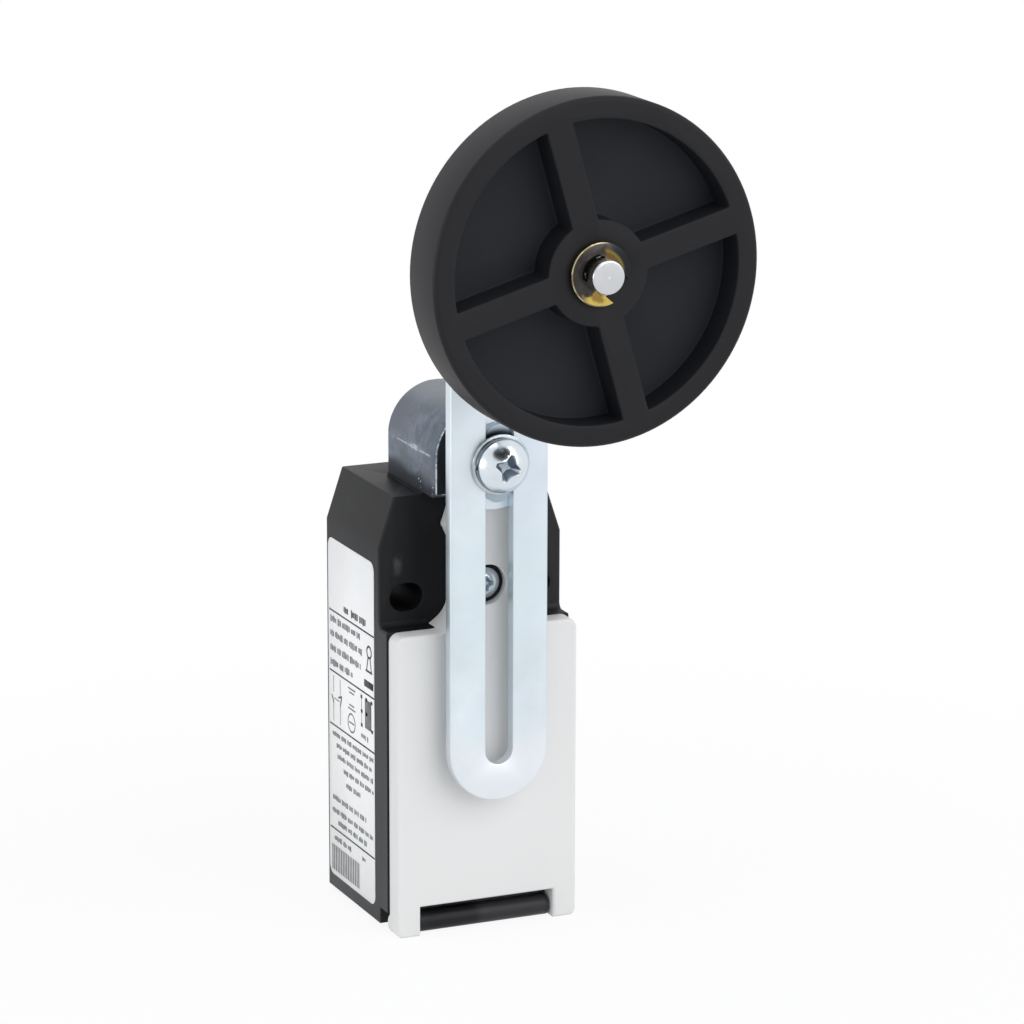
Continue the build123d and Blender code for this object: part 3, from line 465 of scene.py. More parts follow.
# Painted highlight: a small light smear on the left ear above its fixing slot.
HIGHLIGHT_SPOT = Vector((-11.9 * MM, 0, 5.2 * MM))
ear_highlight = both(
    tree,
    front_part,
    fade(tree, away(tree, X, HIGHLIGHT_SPOT.x), 1.0 * MM, 0.1 * MM),
    fade(tree, away(tree, Z, HIGHLIGHT_SPOT.z), 2.3 * MM, 0.3 * MM),
    specks(tree, 500.0, 0.38, 0.62),
)
layer(housing_black, ear_highlight, colour=(0.062, 0.064, 0.068))
print(housing_black.name, len(tree.nodes), "nodes")

# %% [markdown]
# ## Other plastics and rubber
#
# The cover is a light grey plastic with a very fine grain. The roller is a more matt black, smoother
# on the tread where it runs and a little bluer on the floor of its pockets.
# The tread and the floor could be pieces of their own, but they are one moulding, so two masks
# tell them apart by their distance from the axis and their depth.
#
# Inside, the contact block is plain black, its lid is clear, and the seals are dull black rubber.

# %% Cover and roller
cover_grey = finish(
    "cover_grey", (0.765, 0.76, 0.752), wander=0.012, patch=40.0, rough=0.42, rough_wander=0.03,
    gloss=0.4, grain=3600.0, depth=0.003,
)
roller_black = finish(
    "roller_black", (0.0103, 0.0104, 0.0122), wander=0.14, patch=70.0, rough=0.6,
    gloss=0.2, grain=2600.0, depth=0.008,
)
tree = roller_black.node_tree
ROLLER_RADIUS = (high("roller", Z) - low("roller", Z)) / 2
ROLLER_FRONT = low("roller", Y)
tread = fade(tree, spread(tree, ROLLER, (X, Z)), ROLLER_RADIUS - 0.3 * MM, ROLLER_RADIUS - 0.1 * MM)
layer(roller_black, tread, colour=(0.0102, 0.0105, 0.0134), rough=0.48)
behind_face = fade(tree, along(tree, Y), ROLLER_FRONT + 1 * MM, ROLLER_FRONT + 2 * MM)
pocket_floor = both(tree, behind_face, math_node(tree, "SUBTRACT", 1.0, tread))
layer(roller_black, pocket_floor, colour=(0.0098, 0.0108, 0.0148))
print("roller radius", round(ROLLER_RADIUS / MM, 2), "mm")

# %% Plastics and rubber inside
block_black = finish("block_black", (0.02, 0.02, 0.022), rough=0.5, grain=2500.0)
lid_clear = finish(
    "lid_clear", (0.86, 0.89, 0.92), rough=0.12, rough_wander=0.03, grain=900.0, depth=0.002,
)
lid_clear.node_tree.nodes["Principled BSDF"].inputs["Transmission Weight"].default_value = 0.85
seal_rubber = finish("seal_rubber", (0.010, 0.010, 0.011), rough=0.7, gloss=0.3, grain=4000.0)
print("inside:", block_black.name, lid_clear.name, seal_rubber.name)

# %% [markdown]
# ## Metals
#
# The lever and the hub are pressed steel with bright zinc plating, cloudy rather than mirror-like.
# The lever has broad bluish patches and small greenish ones, is a little duller in a stretch below
# the clamp screw, and is palest at its foot. Screws and pins are polished harder, and the two
# washers under the clamp screw are darker steel, darkened further as painted shade between their rims.
#
# A fully metallic shader shows only what it mirrors, and here that is a white room. So the plating
# is three quarters metallic: the last quarter is a plain body that keeps its colour from all sides.

# %% Cloudy zinc plating
zinc_plate = finish(
    "zinc_plate", (0.70, 0.765, 0.82), wander=0.06, patch=130.0, rough=0.36, rough_wander=0.06,
    metallic=0.75, grain=5000.0, depth=0.002,
)
tree = zinc_plate.node_tree
DULL_LEVEL = 2 * MM
blue_patches = specks(tree, 42.0, 0.42, 0.6, detail=1.0)
layer(zinc_plate, blue_patches, colour=(0.64, 0.715, 0.83), share=0.35)
cloud = fade(tree, away(tree, Z, DULL_LEVEL), 17 * MM, 3 * MM)
layer(zinc_plate, cloud, colour=(0.63, 0.715, 0.765), share=0.7)
pale_foot = fade(tree, along(tree, Z), -16 * MM, -24 * MM)
layer(zinc_plate, pale_foot, colour=(0.79, 0.815, 0.84), share=0.7)
green_patches = specks(tree, 110.0, 0.5, 0.6, detail=3.0)
layer(zinc_plate, green_patches, colour=(0.66, 0.775, 0.80), share=0.35)
print("zinc plating", len(tree.nodes), "nodes")

# %% Bare metals
bright_steel = finish(
    "bright_steel", (0.70, 0.76, 0.81), wander=0.05, patch=500.0, rough=0.22, rough_wander=0.04,
    metallic=1.0, grain=3000.0, depth=0.001,
)
# Darker steel for both washers; their darkness also paints the shade between their stacked rims.
washer_steel_and_shade = finish(
    "washer_steel_and_shade", (0.50, 0.54, 0.58), wander=0.2, patch=500.0, rough=0.22,
    metallic=1.0, grain=3000.0, depth=0.002,
)
spring_washer_steel_and_shade = finish(
    "spring_washer_steel_and_shade", (0.20, 0.225, 0.25), wander=0.15, patch=300.0, rough=0.24,
    metallic=1.0, grain=3000.0, depth=0.002,
)
plain_steel = finish(
    "plain_steel", (0.56, 0.57, 0.58), rough=0.3, metallic=1.0, grain=3000.0, depth=0.002,
)
spring_steel = finish(
    "spring_steel", (0.40, 0.40, 0.41), rough=0.32, metallic=1.0, grain=3000.0, depth=0.002,
)
brass = finish("brass", (0.70, 0.52, 0.24), rough=0.28, metallic=1.0, grain=3000.0, depth=0.002)
bronze = finish("bronze", (0.50, 0.33, 0.18), rough=0.45, metallic=1.0, grain=4000.0, depth=0.006)
print("steels:", bright_steel.name, washer_steel_and_shade.name, spring_washer_steel_and_shade.name, spring_steel.name)

# %% [markdown]
# ## Marks on single pieces
#
# Four pieces need more than their metal. The hub's face carries painted shade inside its rim, and a
# darker painted patch above the screw for the shade and the roller's dark reflection there. The
# roller's pin keeps the tiny centre mark of the lathe, and a painted reflection of the yellow ring
# lies near its groove. The two screws carry painted shade in their driver recess, because light
# hardly gets out of it.
#
# Each could have a tree built from nothing. The pin takes the same recipe, and the others a copy of
# the metal they share, with one or two layers more. That is shorter, and a piece still matches its
# neighbours where it has no marks.

# %% Painted shade on the hub face
hub_plate = zinc_plate.copy()
hub_plate.name = "hub_plate"
tree = hub_plate.node_tree
HUB_FRONT = low("lever_hub", Y)
hub_face = fade(tree, along(tree, Y), HUB_FRONT + 0.3 * MM, HUB_FRONT + 0.1 * MM)
from_shaft = spread(tree, SHAFT, (X, Z))
# Painted shade: the hub's face is darkened inside its rim, where it shows behind the lever.
hub_face_shade = both(tree, hub_face, fade(tree, from_shaft, 7.0 * MM, 6.8 * MM))
layer(hub_plate, hub_face_shade, colour=(0.32, 0.385, 0.44), rough=0.34, share=0.9)
# Painted shade and the roller's dark reflection on the hub face above the screw.
hub_shade_and_reflection = both(
    tree,
    hub_face,
    fade(tree, from_shaft, 5.8 * MM, 4.7 * MM),
    fade(tree, along(tree, Z), SHAFT.z, SHAFT.z + 2 * MM),
)
layer(hub_plate, hub_shade_and_reflection, colour=(0.014, 0.024, 0.034), rough=0.3)
print("hub face at", round(HUB_FRONT / MM, 2), "mm")

# %% Turned pin end
pin_steel = finish(
    "pin_steel", (0.60, 0.615, 0.635), wander=0.03, patch=300.0, rough=0.2, rough_wander=0.03,
    metallic=1.0, grain=3000.0, depth=0.001,
)
tree = pin_steel.node_tree
centre_mark = fade(tree, spread(tree, ROLLER, (X, Z)), 0.3 * MM, 0.1 * MM)
layer(pin_steel, centre_mark, colour=(0.72, 0.72, 0.74))
PIN_END = low("roller_pin", Y)
RING_REFLECTION_SPOT = ROLLER + Vector((-1.3 * MM, 0, 2.4 * MM))
# Painted reflection of the yellow ring on the pin's side, towards the ring.
ring_reflection = both(
    tree,
    fade(tree, spread(tree, RING_REFLECTION_SPOT, (X, Z)), 1.5 * MM, 0.6 * MM),
    fade(tree, along(tree, Y), PIN_END + 0.7 * MM, PIN_END + 1.1 * MM),
    specks(tree, 1300.0, 0.42, 0.56),
)
layer(pin_steel, ring_reflection, colour=(0.36, 0.35, 0.15))
print("pin end at", round(PIN_END / MM, 2), "mm")

# %% Screws with painted shade in their driver recess
DOME_SHARE = 0.8


def recessed_screw(name, node, head_radius, head_height):
    """Bright steel for a domed screw, with painted shade inside its dome, where the driver recess is.

    The head is in mm, and its dome takes DOME_SHARE of its height."""
    material = bright_steel.copy()
    material.name = name
    tree = material.node_tree
    rise = head_height * DOME_SHARE
    ball = (head_radius ** 2 + rise ** 2) / (2 * rise)
    crown = low(node, Y)
    middle = centre(node)
    middle.y = crown + ball * MM
    # Painted shade in the driver recess.
    inside = both(
        tree,
        fade(tree, spread(tree, middle, (X, Y, Z)), (ball - 0.03) * MM, (ball - 0.25) * MM),
        fade(tree, along(tree, Y), crown + rise * MM, crown + (rise - 0.1) * MM),
    )
    layer(material, inside, colour=(0.34, 0.39, 0.45), rough=0.3)
    print(name, "dome radius", round(ball, 2), "mm")
    return material


clamp_steel = recessed_screw("clamp_steel", "clamp_screw", head_radius=4.0, head_height=2.7)
cover_steel = recessed_screw("cover_steel", "cover_screw", head_radius=2.4, head_height=1.4)

# %% [markdown]
# ## Retaining ring
#
# The ring is steel with a yellow passivated coat, thin and tarnished. Most of its face is dark
# brown-grey. Gold is left along the rim on the left and at the foot, where it ends in a ragged line
# and has a stain, and a brown patch with an olive band lies near the top of the right arm.
#
# Plain noise could tarnish the ring, but the patches would land anywhere. Here each is a mask by
# its distance from the ring's axis and its place across and up, and noise only frays its edge. The
# gloss of the steel below stays the same under nearly all of them.

# %% Tarnished ring and places on it
RING_RADIUS = 4.6 * MM
ring_axis = Vector((ROLLER.x, centre("retaining_ring").y, ROLLER.z))
yellow_ring = finish(
    "yellow_ring", (0.049, 0.045, 0.042), wander=0.25, patch=420.0, rough=0.16, rough_wander=0.04,
    metallic=1.0, grain=3000.0, depth=0.001,
)
tree = yellow_ring.node_tree
from_axis = spread(tree, ring_axis, (X, Z))
across, height = along(tree, X), along(tree, Z)
print("ring axis", ring_axis / MM, "radius", RING_RADIUS / MM, "mm")

# %% Patch, gap and dark arm at the top
brown = both(
    tree,
    fade(tree, from_axis, 4.0 * MM, 3.6 * MM),
    fade(tree, across, ring_axis.x + 0.3 * MM, ring_axis.x + 1.0 * MM),
    fade(tree, height, ring_axis.z + 0.2 * MM, ring_axis.z + 1.2 * MM),
)
layer(yellow_ring, brown, colour=(0.15, 0.095, 0.035))
off_band = math_node(tree, "ABSOLUTE", math_node(tree, "SUBTRACT", from_axis, 3.4 * MM))
olive = both(tree, brown, fade(tree, off_band, 0.3 * MM, 0.1 * MM))
layer(yellow_ring, olive, colour=(0.22, 0.18, 0.05), share=0.8)
gap_shade = both(
    tree,
    fade(tree, from_axis, 3.1 * MM, 2.85 * MM),
    fade(tree, across, ring_axis.x + 0.2 * MM, ring_axis.x - 0.5 * MM),
    fade(tree, height, ring_axis.z - 0.9 * MM, ring_axis.z - 0.3 * MM),
)
layer(yellow_ring, gap_shade, colour=(0.006, 0.006, 0.006), rough=0.5)
dark_arm = both(
    tree,
    fade(tree, from_axis, 3.3 * MM, 3.8 * MM),
    fade(tree, across, ring_axis.x + 0.8 * MM, ring_axis.x + 2.2 * MM),
    fade(tree, height, ring_axis.z - 1.5 * MM, ring_axis.z - 0.5 * MM),
)
layer(yellow_ring, dark_arm, colour=(0.026, 0.030, 0.031))

# %% Gold at the foot and along the rim
raggedness = math_node(tree, "MULTIPLY", specks(tree, 650.0, 0.3, 0.7), 0.9 * MM)
ragged_height = math_node(tree, "ADD", height, raggedness)
low_gold = both(
    tree,
    fade(tree, ragged_height, ring_axis.z - 2.1 * MM, ring_axis.z - 2.5 * MM),
    fade(tree, across, ring_axis.x - 3.4 * MM, ring_axis.x - 1.6 * MM),
)
layer(yellow_ring, low_gold, colour=(0.62, 0.47, 0.12))
off_rim = fade(tree, from_axis, 4.4 * MM, 3.7 * MM)
stain = both(tree, low_gold, specks(tree, 420.0, 0.44, 0.6), off_rim)
layer(yellow_ring, stain, colour=(0.22, 0.12, 0.03), share=0.8)
rim = both(
    tree,
    fade(tree, from_axis, RING_RADIUS - 0.24 * MM, RING_RADIUS - 0.12 * MM),
    fade(tree, across, ring_axis.x + 1.5 * MM, ring_axis.x - 0.5 * MM),
)
layer(yellow_ring, rim, colour=(0.47, 0.41, 0.25))
layer(yellow_ring, both(tree, rim, specks(tree, 500.0, 0.5, 0.6)), colour=(0.24, 0.18, 0.10))
print(yellow_ring.name, len(tree.nodes), "nodes")

# %% [markdown]
# ## Raw casting
#
# The head is a zinc pressure casting, left raw. It is blue-grey and mottled, darker on the rear of
# the arch, with painted light along its crest. A painted highlight runs at the level where the arch
# springs from the straight sides, with a brighter knot in it. Low down the casting carries painted
# shade up to a wavy line, with a few bright dots, and its front is painted dark for the shadow of the
# lever and hub, with the edge worn bright.
#
# One noise looks like a printed pattern, so three sizes of mottling lie over one another. The wavy
# line is a level with noise taken off it, because a plain level would look drawn with a ruler.

# %% Mottled zinc
casting = finish(
    "casting", (0.142, 0.163, 0.205), wander=0.42, patch=300.0, rough=0.52, rough_wander=0.10,
    metallic=0.25, gloss=0.5, grain=1500.0, depth=0.02,
)
tree = casting.node_tree
layer(casting, specks(tree, 900.0, 0.5, 0.66), colour=(0.19, 0.215, 0.255), share=0.6)
layer(casting, specks(tree, 260.0, 0.52, 0.7), colour=(0.085, 0.10, 0.125), share=0.6)
layer(casting, specks(tree, 130.0, 0.46, 0.56, detail=5.0), colour=(0.100, 0.128, 0.155), share=0.7)
rear_arch = both(
    tree,
    fade(tree, along(tree, Y), -19 * MM, -11 * MM),
    fade(tree, along(tree, X), -3 * MM, -6.5 * MM),
    fade(tree, along(tree, Z), SHAFT.z, SHAFT.z + 2 * MM),
)
layer(casting, rear_arch, colour=(0.085, 0.102, 0.130), share=0.75)
# Painted light: the crest of the arch is made paler, where the lamp above falls on it.
crest_light = fade(tree, along(tree, Z), SHAFT.z + 5.5 * MM, SHAFT.z + 7.6 * MM)
layer(casting, crest_light, colour=(0.215, 0.24, 0.265), share=0.7)

# %% Painted highlight and its knot on the left side
HIGHLIGHT_LEVEL = SHAFT.z + 0.25 * MM
KNOT_PLACE = -18.6 * MM
left_side = fade(tree, along(tree, X), -5 * MM, -6 * MM)
# Painted highlight along the line where the arch springs from the straight side.
highlight_streak = both(
    tree,
    fade(tree, away(tree, Z, HIGHLIGHT_LEVEL), 0.24 * MM, 0.05 * MM),
    fade(tree, along(tree, Y), -9 * MM, -15 * MM),
    fade(tree, along(tree, Y), -25.2 * MM, -24.0 * MM),
    specks(tree, 800.0, 0.36, 0.5),
    left_side,
)
layer(casting, highlight_streak, colour=(0.42, 0.45, 0.52))
knot = both(
    tree,
    fade(tree, away(tree, Y, KNOT_PLACE), 1.9 * MM, 0.5 * MM),
    fade(tree, away(tree, Z, HIGHLIGHT_LEVEL + 0.1 * MM), 0.62 * MM, 0.2 * MM),
    specks(tree, 900.0, 0.36, 0.54),
    left_side,
)
layer(casting, knot, colour=(0.46, 0.49, 0.56))
print("streak at", round(HIGHLIGHT_LEVEL / MM, 2), "mm")

# %% Painted shade at the seat and on the front, and the bright worn edge
wobble = math_node(tree, "MULTIPLY", specks(tree, 160.0, 0.3, 0.7, detail=1.0), 1.6 * MM)
tilt = math_node(tree, "MULTIPLY", fade(tree, along(tree, Y), -22 * MM, -9 * MM), 0.6 * MM)
level = math_node(tree, "SUBTRACT", math_node(tree, "SUBTRACT", along(tree, Z), wobble), tilt)
# Painted shade low on the casting, up to a wavy line.
seat_shade = fade(tree, level, TOP + 2.4 * MM, TOP + 0.4 * MM)
layer(casting, seat_shade, colour=(0.028, 0.034, 0.045))
dots = both(
    tree,
    specks(tree, 2200.0, 0.73, 0.76, detail=1.0),
    fade(tree, along(tree, Z), SHAFT.z - 2 * MM, SHAFT.z - 4 * MM),
    fade(tree, along(tree, Y), -17 * MM, -21 * MM),
)
layer(casting, dots, colour=(0.75, 0.77, 0.80))
edge = fade(tree, along(tree, Y), HEAD_FRONT + 0.26 * MM, HEAD_FRONT + 0.16 * MM)
layer(casting, both(tree, edge, specks(tree, 900.0, 0.38, 0.56)), colour=(0.70, 0.73, 0.77))
# Painted shadow of the lever and hub on the head's front face.
front_shadow = fade(tree, along(tree, Y), HEAD_FRONT + 0.12 * MM, HEAD_FRONT + 0.04 * MM)
layer(casting, front_shadow, colour=(0.011, 0.014, 0.019), rough=0.35)
print(casting.name, len(tree.nodes), "nodes")

# %% [markdown]
# ## Dressing the pieces
#
# The record of the model names a material slot for every piece. A finish could be given to each
# piece by name, but a list by slot is shorter and can't miss a piece. So each slot has one finish,
# and the few pieces with marks or a metal of their own have a finish to themselves.

# %% Dress the pieces
DRESS = {
    "black_plastic": housing_black,
    "grey_plastic": cover_grey,
    "roller_plastic": roller_black,
    "contact_plastic": block_black,
    "clear_plastic": lid_clear,
    "zinc_casting": casting,
    "zinc_plate": zinc_plate,
    "bright_steel": bright_steel,
    "steel": plain_steel,
    "spring_steel": spring_steel,
    "yellow_zinc": yellow_ring,
    "bronze": bronze,
    "brass": brass,
    "rubber": seal_rubber,
}
OWN_FINISH = {
    "lever_hub": hub_plate,
    "roller_pin": pin_steel,
    "clamp_screw": clamp_steel,
    "flat_washer": washer_steel_and_shade,
    "spring_washer": spring_washer_steel_and_shade,
    "cover_screw": cover_steel,
}


def finish_of(node):
    """The material of a node: its own, or the one of its slot."""
    return OWN_FINISH.get(node, DRESS[SLOT_OF[node]])


def dress(node, material):
    """Gives a piece of the model a material in each of its slots."""
    for slot in frame["nodes"][node].material_slots:
        slot.material = material


for node in SLOT_OF:
    dress(node, finish_of(node))
print("dressed", len(SLOT_OF), "pieces in", len(DRESS) + len(OWN_FINISH), "finishes")

# %% [markdown]
# ## Rounded edges
#
# A sharp edge never catches the light. A moulded, pressed or cast edge does, because it is a
# little round. The shader's own bevel could fake that, but it leaves the exported mesh sharp, so
# the edges are really cut round here. The model's own mesh stays as it is: a copy of it is merged
# into one skin, its flat areas are joined to single faces, and only its sharp edges are bevelled.
# The copy then stands for the piece of the model.


# %% A piece from a bmesh
def add_piece(name, bm, material, body):
    """Turns a bmesh into a piece of the model: smooth, dressed, and riding on a body."""
    for face in bm.faces:
        face.smooth = True
    mesh = bpy.data.meshes.new(name)
    bm.to_mesh(mesh)
    bm.free()
    mesh.materials.append(material)
    piece = bpy.data.objects.new(name, mesh)
    bpy.context.collection.objects.link(piece)
    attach(piece, body)
    return piece



# %% A copy with its sharp edges rounded
SHARP = math.radians(35)
FLAT = math.radians(0.6)
FOLDED = math.radians(150)
WELD = 0.0005 * MM
BEVEL_SEGMENTS = 3


def rounded(node, radius, weld=WELD, skin=None):
    """A copy of a node with its sharp edges rounded by a radius in mm, standing for that node.

    Points nearer than weld become one first. With a skin, only edges within it of the node's box
    are rounded, which leaves the bores inside alone."""
    bm = bmesh.new()
    bm.from_mesh(frame["nodes"][node].data)
    bmesh.ops.remove_doubles(bm, verts=bm.verts, dist=WELD)
    bmesh.ops.dissolve_limit(bm, angle_limit=FLAT, verts=bm.verts, edges=bm.edges)
    if weld > WELD:
        bmesh.ops.dissolve_degenerate(bm, dist=weld, edges=bm.edges)
    lowest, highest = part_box(node)

    def is_outer(vert):
        depths = [min(vert.co[a] - lowest[a], highest[a] - vert.co[a]) for a in (X, Y, Z)]
        return skin is None or min(depths) < skin

    outer = {vert for vert in bm.verts if is_outer(vert)}
    edges = [
        edge for edge in bm.edges
        if len(edge.link_faces) == 2 and edge.calc_face_angle() > SHARP and outer.issuperset(edge.verts)
    ]
    bmesh.ops.bevel(bm, geom=edges, offset=radius * MM, offset_type="OFFSET", affect="EDGES",
                    segments=BEVEL_SEGMENTS, profile=0.5, material=-1, clamp_overlap=False)
    bmesh.ops.remove_doubles(bm, verts=bm.verts, dist=WELD)
    open_edges = sum(not edge.is_manifold for edge in bm.edges)
    folds = sum(edge.is_manifold and edge.calc_face_angle() > FOLDED for edge in bm.edges)
    piece = add_piece(node + "_rounded", bm, finish_of(node), BODY_OF[node])
    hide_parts(node)
    print(piece.name, "faces", len(piece.data.polygons), "open edges", open_edges, "folds", folds)


# %% Round each piece
EDGE_RADIUS = {
    "roller": 0.25,
    "lever_arm": 0.12,
    "cover": 0.12,
    "housing": 0.15,
    "lever_hub": 0.06,
    "flat_washer": 0.08,
    "spring_washer": 0.1,
    "roller_pin": 0.1,
    "retaining_ring": 0.06,
    "roller_spacer": 0.1,
}
HEAD_SKIN = 0.05 * MM
SCREW_WELD = 0.05 * MM
for node, radius in EDGE_RADIUS.items():
    rounded(node, radius)
rounded("head_casting", 0.15, skin=HEAD_SKIN)
rounded("clamp_screw", 0.05, weld=SCREW_WELD)
rounded("cover_screw", 0.04, weld=SCREW_WELD)

# %% [markdown]
# ## Springs on their seats
#
# Two coil springs stand on fixed seats, one below the head's plunger and one below the contact
# carrier. When either is pushed down, its spring stays on its seat and closes up. Here a copy of each
# spring, welded and smooth, stands for it and rides on its body, but it keeps its shape as the joint
# moves. A spring left stiff would be cut through by the piece above it, and a driver on its shape
# would be lost in the exported model.

# %% Springs that ride on their bodies
for node, joint_name in (("plunger_spring", "plunger_travel"), ("return_spring", "carrier_travel")):
    bm = bmesh.new()
    bm.from_mesh(frame["nodes"][node].data)
    bmesh.ops.remove_doubles(bm, verts=bm.verts, dist=WELD)
    coil = add_piece(node + "_coil", bm, finish_of(node), BODY_OF[node])
    coil.data.set_sharp_from_angle(angle=SHARP)
    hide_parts(node)
    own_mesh(coil)

# %% [markdown]
# ## Label
#
# The left flank carries a white film with rounded corners. Its print is kept generic: lines that
# divide it into zones, rows of plain dashes where small print would be, a contact diagram, and
# evenly spaced bars.
#
# Print is often an image on the surface, but an image blurs close up and ties the script to a file.
# Here the film and the print are thin solids, so they stay a true shape in the exported model.
# Everything is laid out in millimetres from the film's lower rear corner.

# %% Paper film
LABEL_WIDE, LABEL_TALL = 18.6, 54.25
LABEL_CORNER, CORNER_SEGMENTS = 1.5, 8
FILM, INK = 0.08, 0.02
LABEL_BACK, LABEL_FOOT = -1.0 * MM, TOP - 64.7 * MM
label_frame = Matrix((
    (0, 0, -1, FLANK),
    (-1, 0, 0, LABEL_BACK),
    (0, 1, 0, LABEL_FOOT),
    (0, 0, 0, 1),
)) @ Matrix.Diagonal((MM, MM, MM, 1))
label_white = finish(
    "label_white", (0.965, 0.967, 0.97), wander=0.015, patch=200.0, rough=0.45,
    gloss=0.4, grain=3000.0, depth=0.001,
)
film = bmesh.new()
bmesh.ops.create_grid(film, x_segments=1, y_segments=1, size=0.5)
bmesh.ops.scale(film, verts=film.verts, vec=(LABEL_WIDE, LABEL_TALL, 1))
bmesh.ops.translate(film, verts=film.verts, vec=(LABEL_WIDE / 2, LABEL_TALL / 2, 0))
bmesh.ops.bevel(film, geom=list(film.verts), offset=LABEL_CORNER, offset_type="OFFSET", affect="VERTICES",
                segments=CORNER_SEGMENTS, profile=0.5, material=-1, clamp_overlap=True)
raised = bmesh.ops.extrude_face_region(film, geom=list(film.faces))
raised_verts = [item for item in raised["geom"] if isinstance(item, bmesh.types.BMVert)]
bmesh.ops.translate(film, verts=raised_verts, vec=(0, 0, FILM))
bmesh.ops.recalc_face_normals(film, faces=film.faces)
bmesh.ops.transform(film, matrix=label_frame, verts=film.verts)
add_piece("label_film", film, label_white, BODY_OF["housing"])
print("label", LABEL_WIDE, "by", LABEL_TALL, "mm")


# %% Marks that a printer makes
def bar(bm, u, v, wide, tall, turn=0.0):
    """A printed bar: its middle, width and height in mm, turned by some degrees."""
    place = Matrix.Translation((u, v, FILM)) @ Matrix.Rotation(math.radians(turn), 4, "Z")
    bmesh.ops.create_cube(bm, size=1, matrix=place @ Matrix.Diagonal((wide, tall, 2 * INK, 1)))


def stroke(bm, start, end, wide):
    """A printed line between two places."""
    span = Vector(end) - Vector(start)
    middle = (Vector(start) + Vector(end)) / 2
    bar(bm, middle.x, middle.y, span.length, wide, math.degrees(math.atan2(span.y, span.x)))


CIRCLE_SIDES = 24


def loop(bm, u, v, radius, wide):
    """A printed circle."""
    turns = [math.tau * i / CIRCLE_SIDES for i in range(CIRCLE_SIDES + 1)]
    spots = [Vector((u, v)) + Vector((math.cos(a), math.sin(a))) * radius for a in turns]
    for start, end in zip(spots, spots[1:]):
        stroke(bm, start, end, wide)


# Least and most of each, in mm. A dash is as tall as a share of its row.
WORD_WIDE, DASH_WIDE, DASH_GAP = (1.4, 3.6), (0.24, 0.5), (0.1, 0.18)
DASH_SHIFT, DASH_SHARE = (-0.05, 0.05), (0.6, 1.0)
WORD_GAP, LEAST_WORD, LEAST_DASH = 0.4, 0.3, 0.2
dashes = random.Random(7)


def small_print(bm, u_start, u_end, v, tall):
    """A row of dashes in groups, like lines of small print seen from afar."""
    u = u_start
    while u < u_end - LEAST_WORD:
        word_end = min(u + dashes.uniform(*WORD_WIDE), u_end)
        while u < word_end - LEAST_DASH:
            wide = dashes.uniform(*DASH_WIDE)
            level = v + dashes.uniform(*DASH_SHIFT)
            bar(bm, u + wide / 2, level, wide, tall * dashes.uniform(*DASH_SHARE))
            u += wide + dashes.uniform(*DASH_GAP)
        u += WORD_GAP


# %% Dividers, heading, rows and bars
DIVIDERS = (42.75, 33.05, 24.45, 7.6)
DIVIDER_TALL, MARGIN = 0.26, 0.4
HEADING_LEVEL, HEADING_TALL = 44.1, 1.3
HEADING = ((6.4, 8.6), (9.4, 12.2), (12.8, 15.2))
BARS, BAR_START, BAR_PITCH, BAR_LEVEL, BAR_WIDE, BAR_TALL = 16, 1.2, 0.72, 2.85, 0.42, 4.1
# Each row: where it starts and ends, its level, and how tall its dashes are
ROWS = (
    (0.9, 13.2, 41.4, 1.15), (0.8, 13.8, 39.1, 1.15), (0.8, 13.6, 36.75, 1.15), (0.8, 10.2, 34.5, 1.15),
    (1.5, 18.0, 23.1, 0.85), (3.1, 17.8, 21.45, 0.85), (3.5, 18.0, 19.75, 0.85), (6.0, 18.0, 18.0, 0.85),
    (7.0, 13.5, 16.0, 0.85), (1.5, 15.3, 12.75, 0.9), (1.25, 18.0, 10.65, 0.9), (3.6, 15.5, 8.95, 0.9),
    (2.0, 9.0, 6.15, 0.9), (13.5, 15.5, 6.15, 0.7), (13.3, 16.2, 25.9, 0.9),
)
dark, pale = bmesh.new(), bmesh.new()
for level in DIVIDERS:
    bar(dark, (LABEL_WIDE + MARGIN) / 2, level, LABEL_WIDE - MARGIN, DIVIDER_TALL)
for start, end in HEADING:
    small_print(dark, start, end, HEADING_LEVEL, HEADING_TALL)
for row in ROWS:
    small_print(pale, *row)
for count in range(BARS):
    bar(pale, BAR_START + BAR_PITCH * count, BAR_LEVEL, BAR_WIDE, BAR_TALL)
print("dark marks", len(dark.faces) // 6, "pale marks", len(pale.faces) // 6)

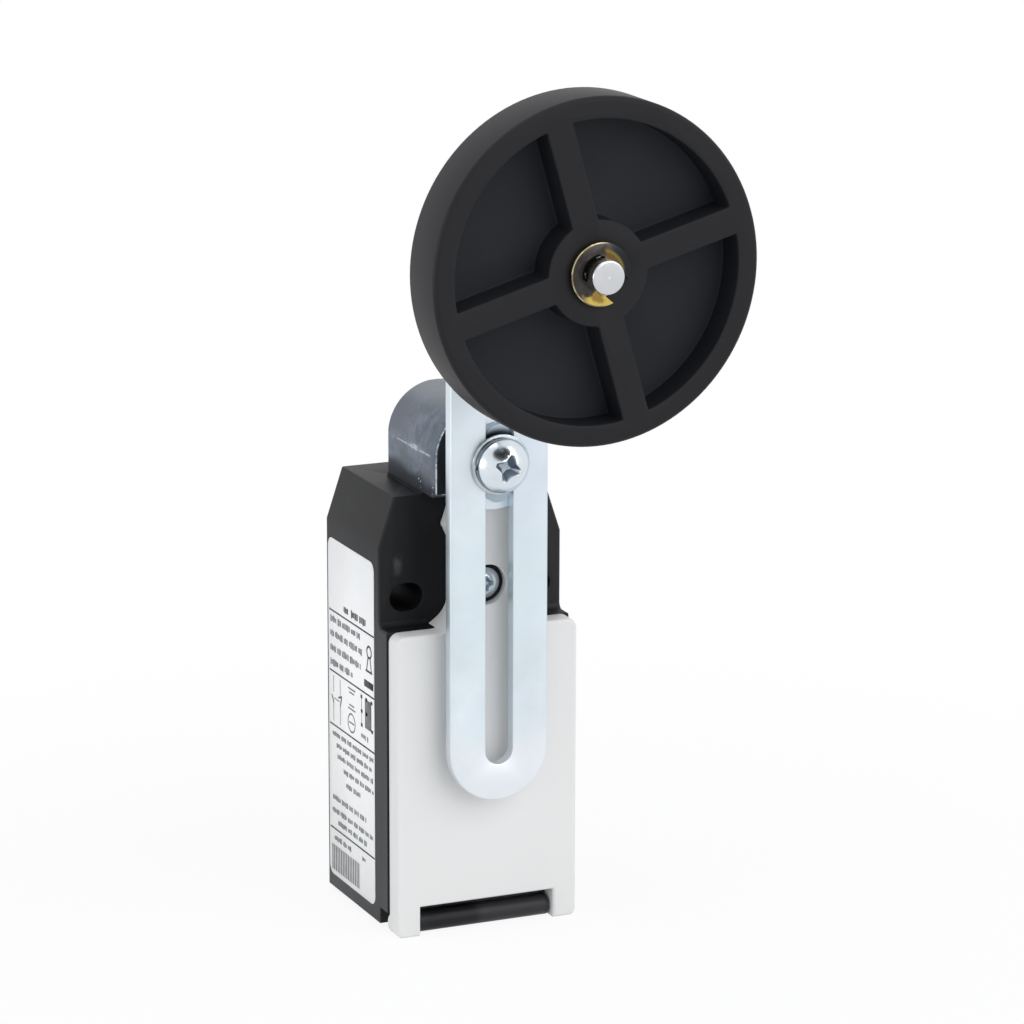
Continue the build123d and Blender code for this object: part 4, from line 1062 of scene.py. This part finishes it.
# %% Contact diagram and outlines
WIRE, HAIR, FINE, CIRCLE, PEN, BOLD = 0.14, 0.16, 0.24, 0.26, 0.3, 0.34
bar(dark, 16.5, 34.7, wide=3.7, tall=1.1)
loop(dark, 16.7, 39.9, radius=0.9, wide=BOLD)
stroke(dark, (16.3, 39.0), (15.7, 36.9), PEN)
stroke(dark, (17.1, 39.0), (17.6, 36.9), PEN)
bar(dark, 16.6, 36.8, wide=2.6, tall=BOLD)
for u in (2.0, 4.75):
    stroke(pale, (u, 32.4), (u, 29.8), HAIR)
    stroke(pale, (u, 28.2), (u, 25.1), HAIR)
stroke(dark, (1.2, 29.2), (2.1, 28.0), PEN)
stroke(dark, (4.0, 29.3), (5.4, 29.8), PEN)
stroke(dark, (4.75, 28.2), (5.3, 29.6), PEN)
stroke(pale, (2.2, 28.8), (4.4, 28.8), HAIR)
for level, wide in ((32.1, 3.0), (31.5, 2.0), (29.5, 2.0), (28.9, 3.0)):
    bar(pale, 9.5, level, wide, FINE)
loop(pale, 9.4, 26.7, radius=1.45, wide=CIRCLE)
bar(pale, 9.4, 26.7, wide=2.0, tall=FINE)
bar(pale, 16.2, 29.8, wide=2.6, tall=4.6)
UPPER_SPOTS = ((13.5, 32.1), (15.5, 32.1), (17.6, 32.1))
LOWER_SPOTS = ((13.6, 29.8), (15.6, 29.8), (13.6, 27.6), (17.8, 27.6))
for u, v in UPPER_SPOTS + LOWER_SPOTS:
    bar(dark, u, v, wide=0.7, tall=0.55)
stroke(dark, (13.6, 32.1), (13.6, 27.6), WIRE)
print("with the diagram", len(dark.faces) // 6, "dark and", len(pale.faces) // 6, "pale marks")

# %% Dark and pale ink
label_ink = finish(
    "label_ink", (0.035, 0.035, 0.038), wander=0.3, patch=900.0, rough=0.5,
    gloss=0.3, grain=3000.0, depth=0.001,
)
pale_ink = finish(
    "pale_ink", (0.185, 0.185, 0.19), wander=0.3, patch=900.0, rough=0.5,
    gloss=0.3, grain=3000.0, depth=0.001,
)
for name, bm, ink in (("label_print_dark", dark, label_ink), ("label_print_pale", pale, pale_ink)):
    bmesh.ops.transform(bm, matrix=label_frame, verts=bm.verts)
    bmesh.ops.recalc_face_normals(bm, faces=bm.faces)
    print(name, "faces", len(bm.faces))
    add_piece(name, bm, ink, BODY_OF["housing"])

# %% [markdown]
# ## Colour
#
# The Standard view shows a colour about as it is written.

# %% Colour management
bpy.context.scene.view_settings.view_transform = "Standard"
print("view", bpy.context.scene.view_settings.view_transform)
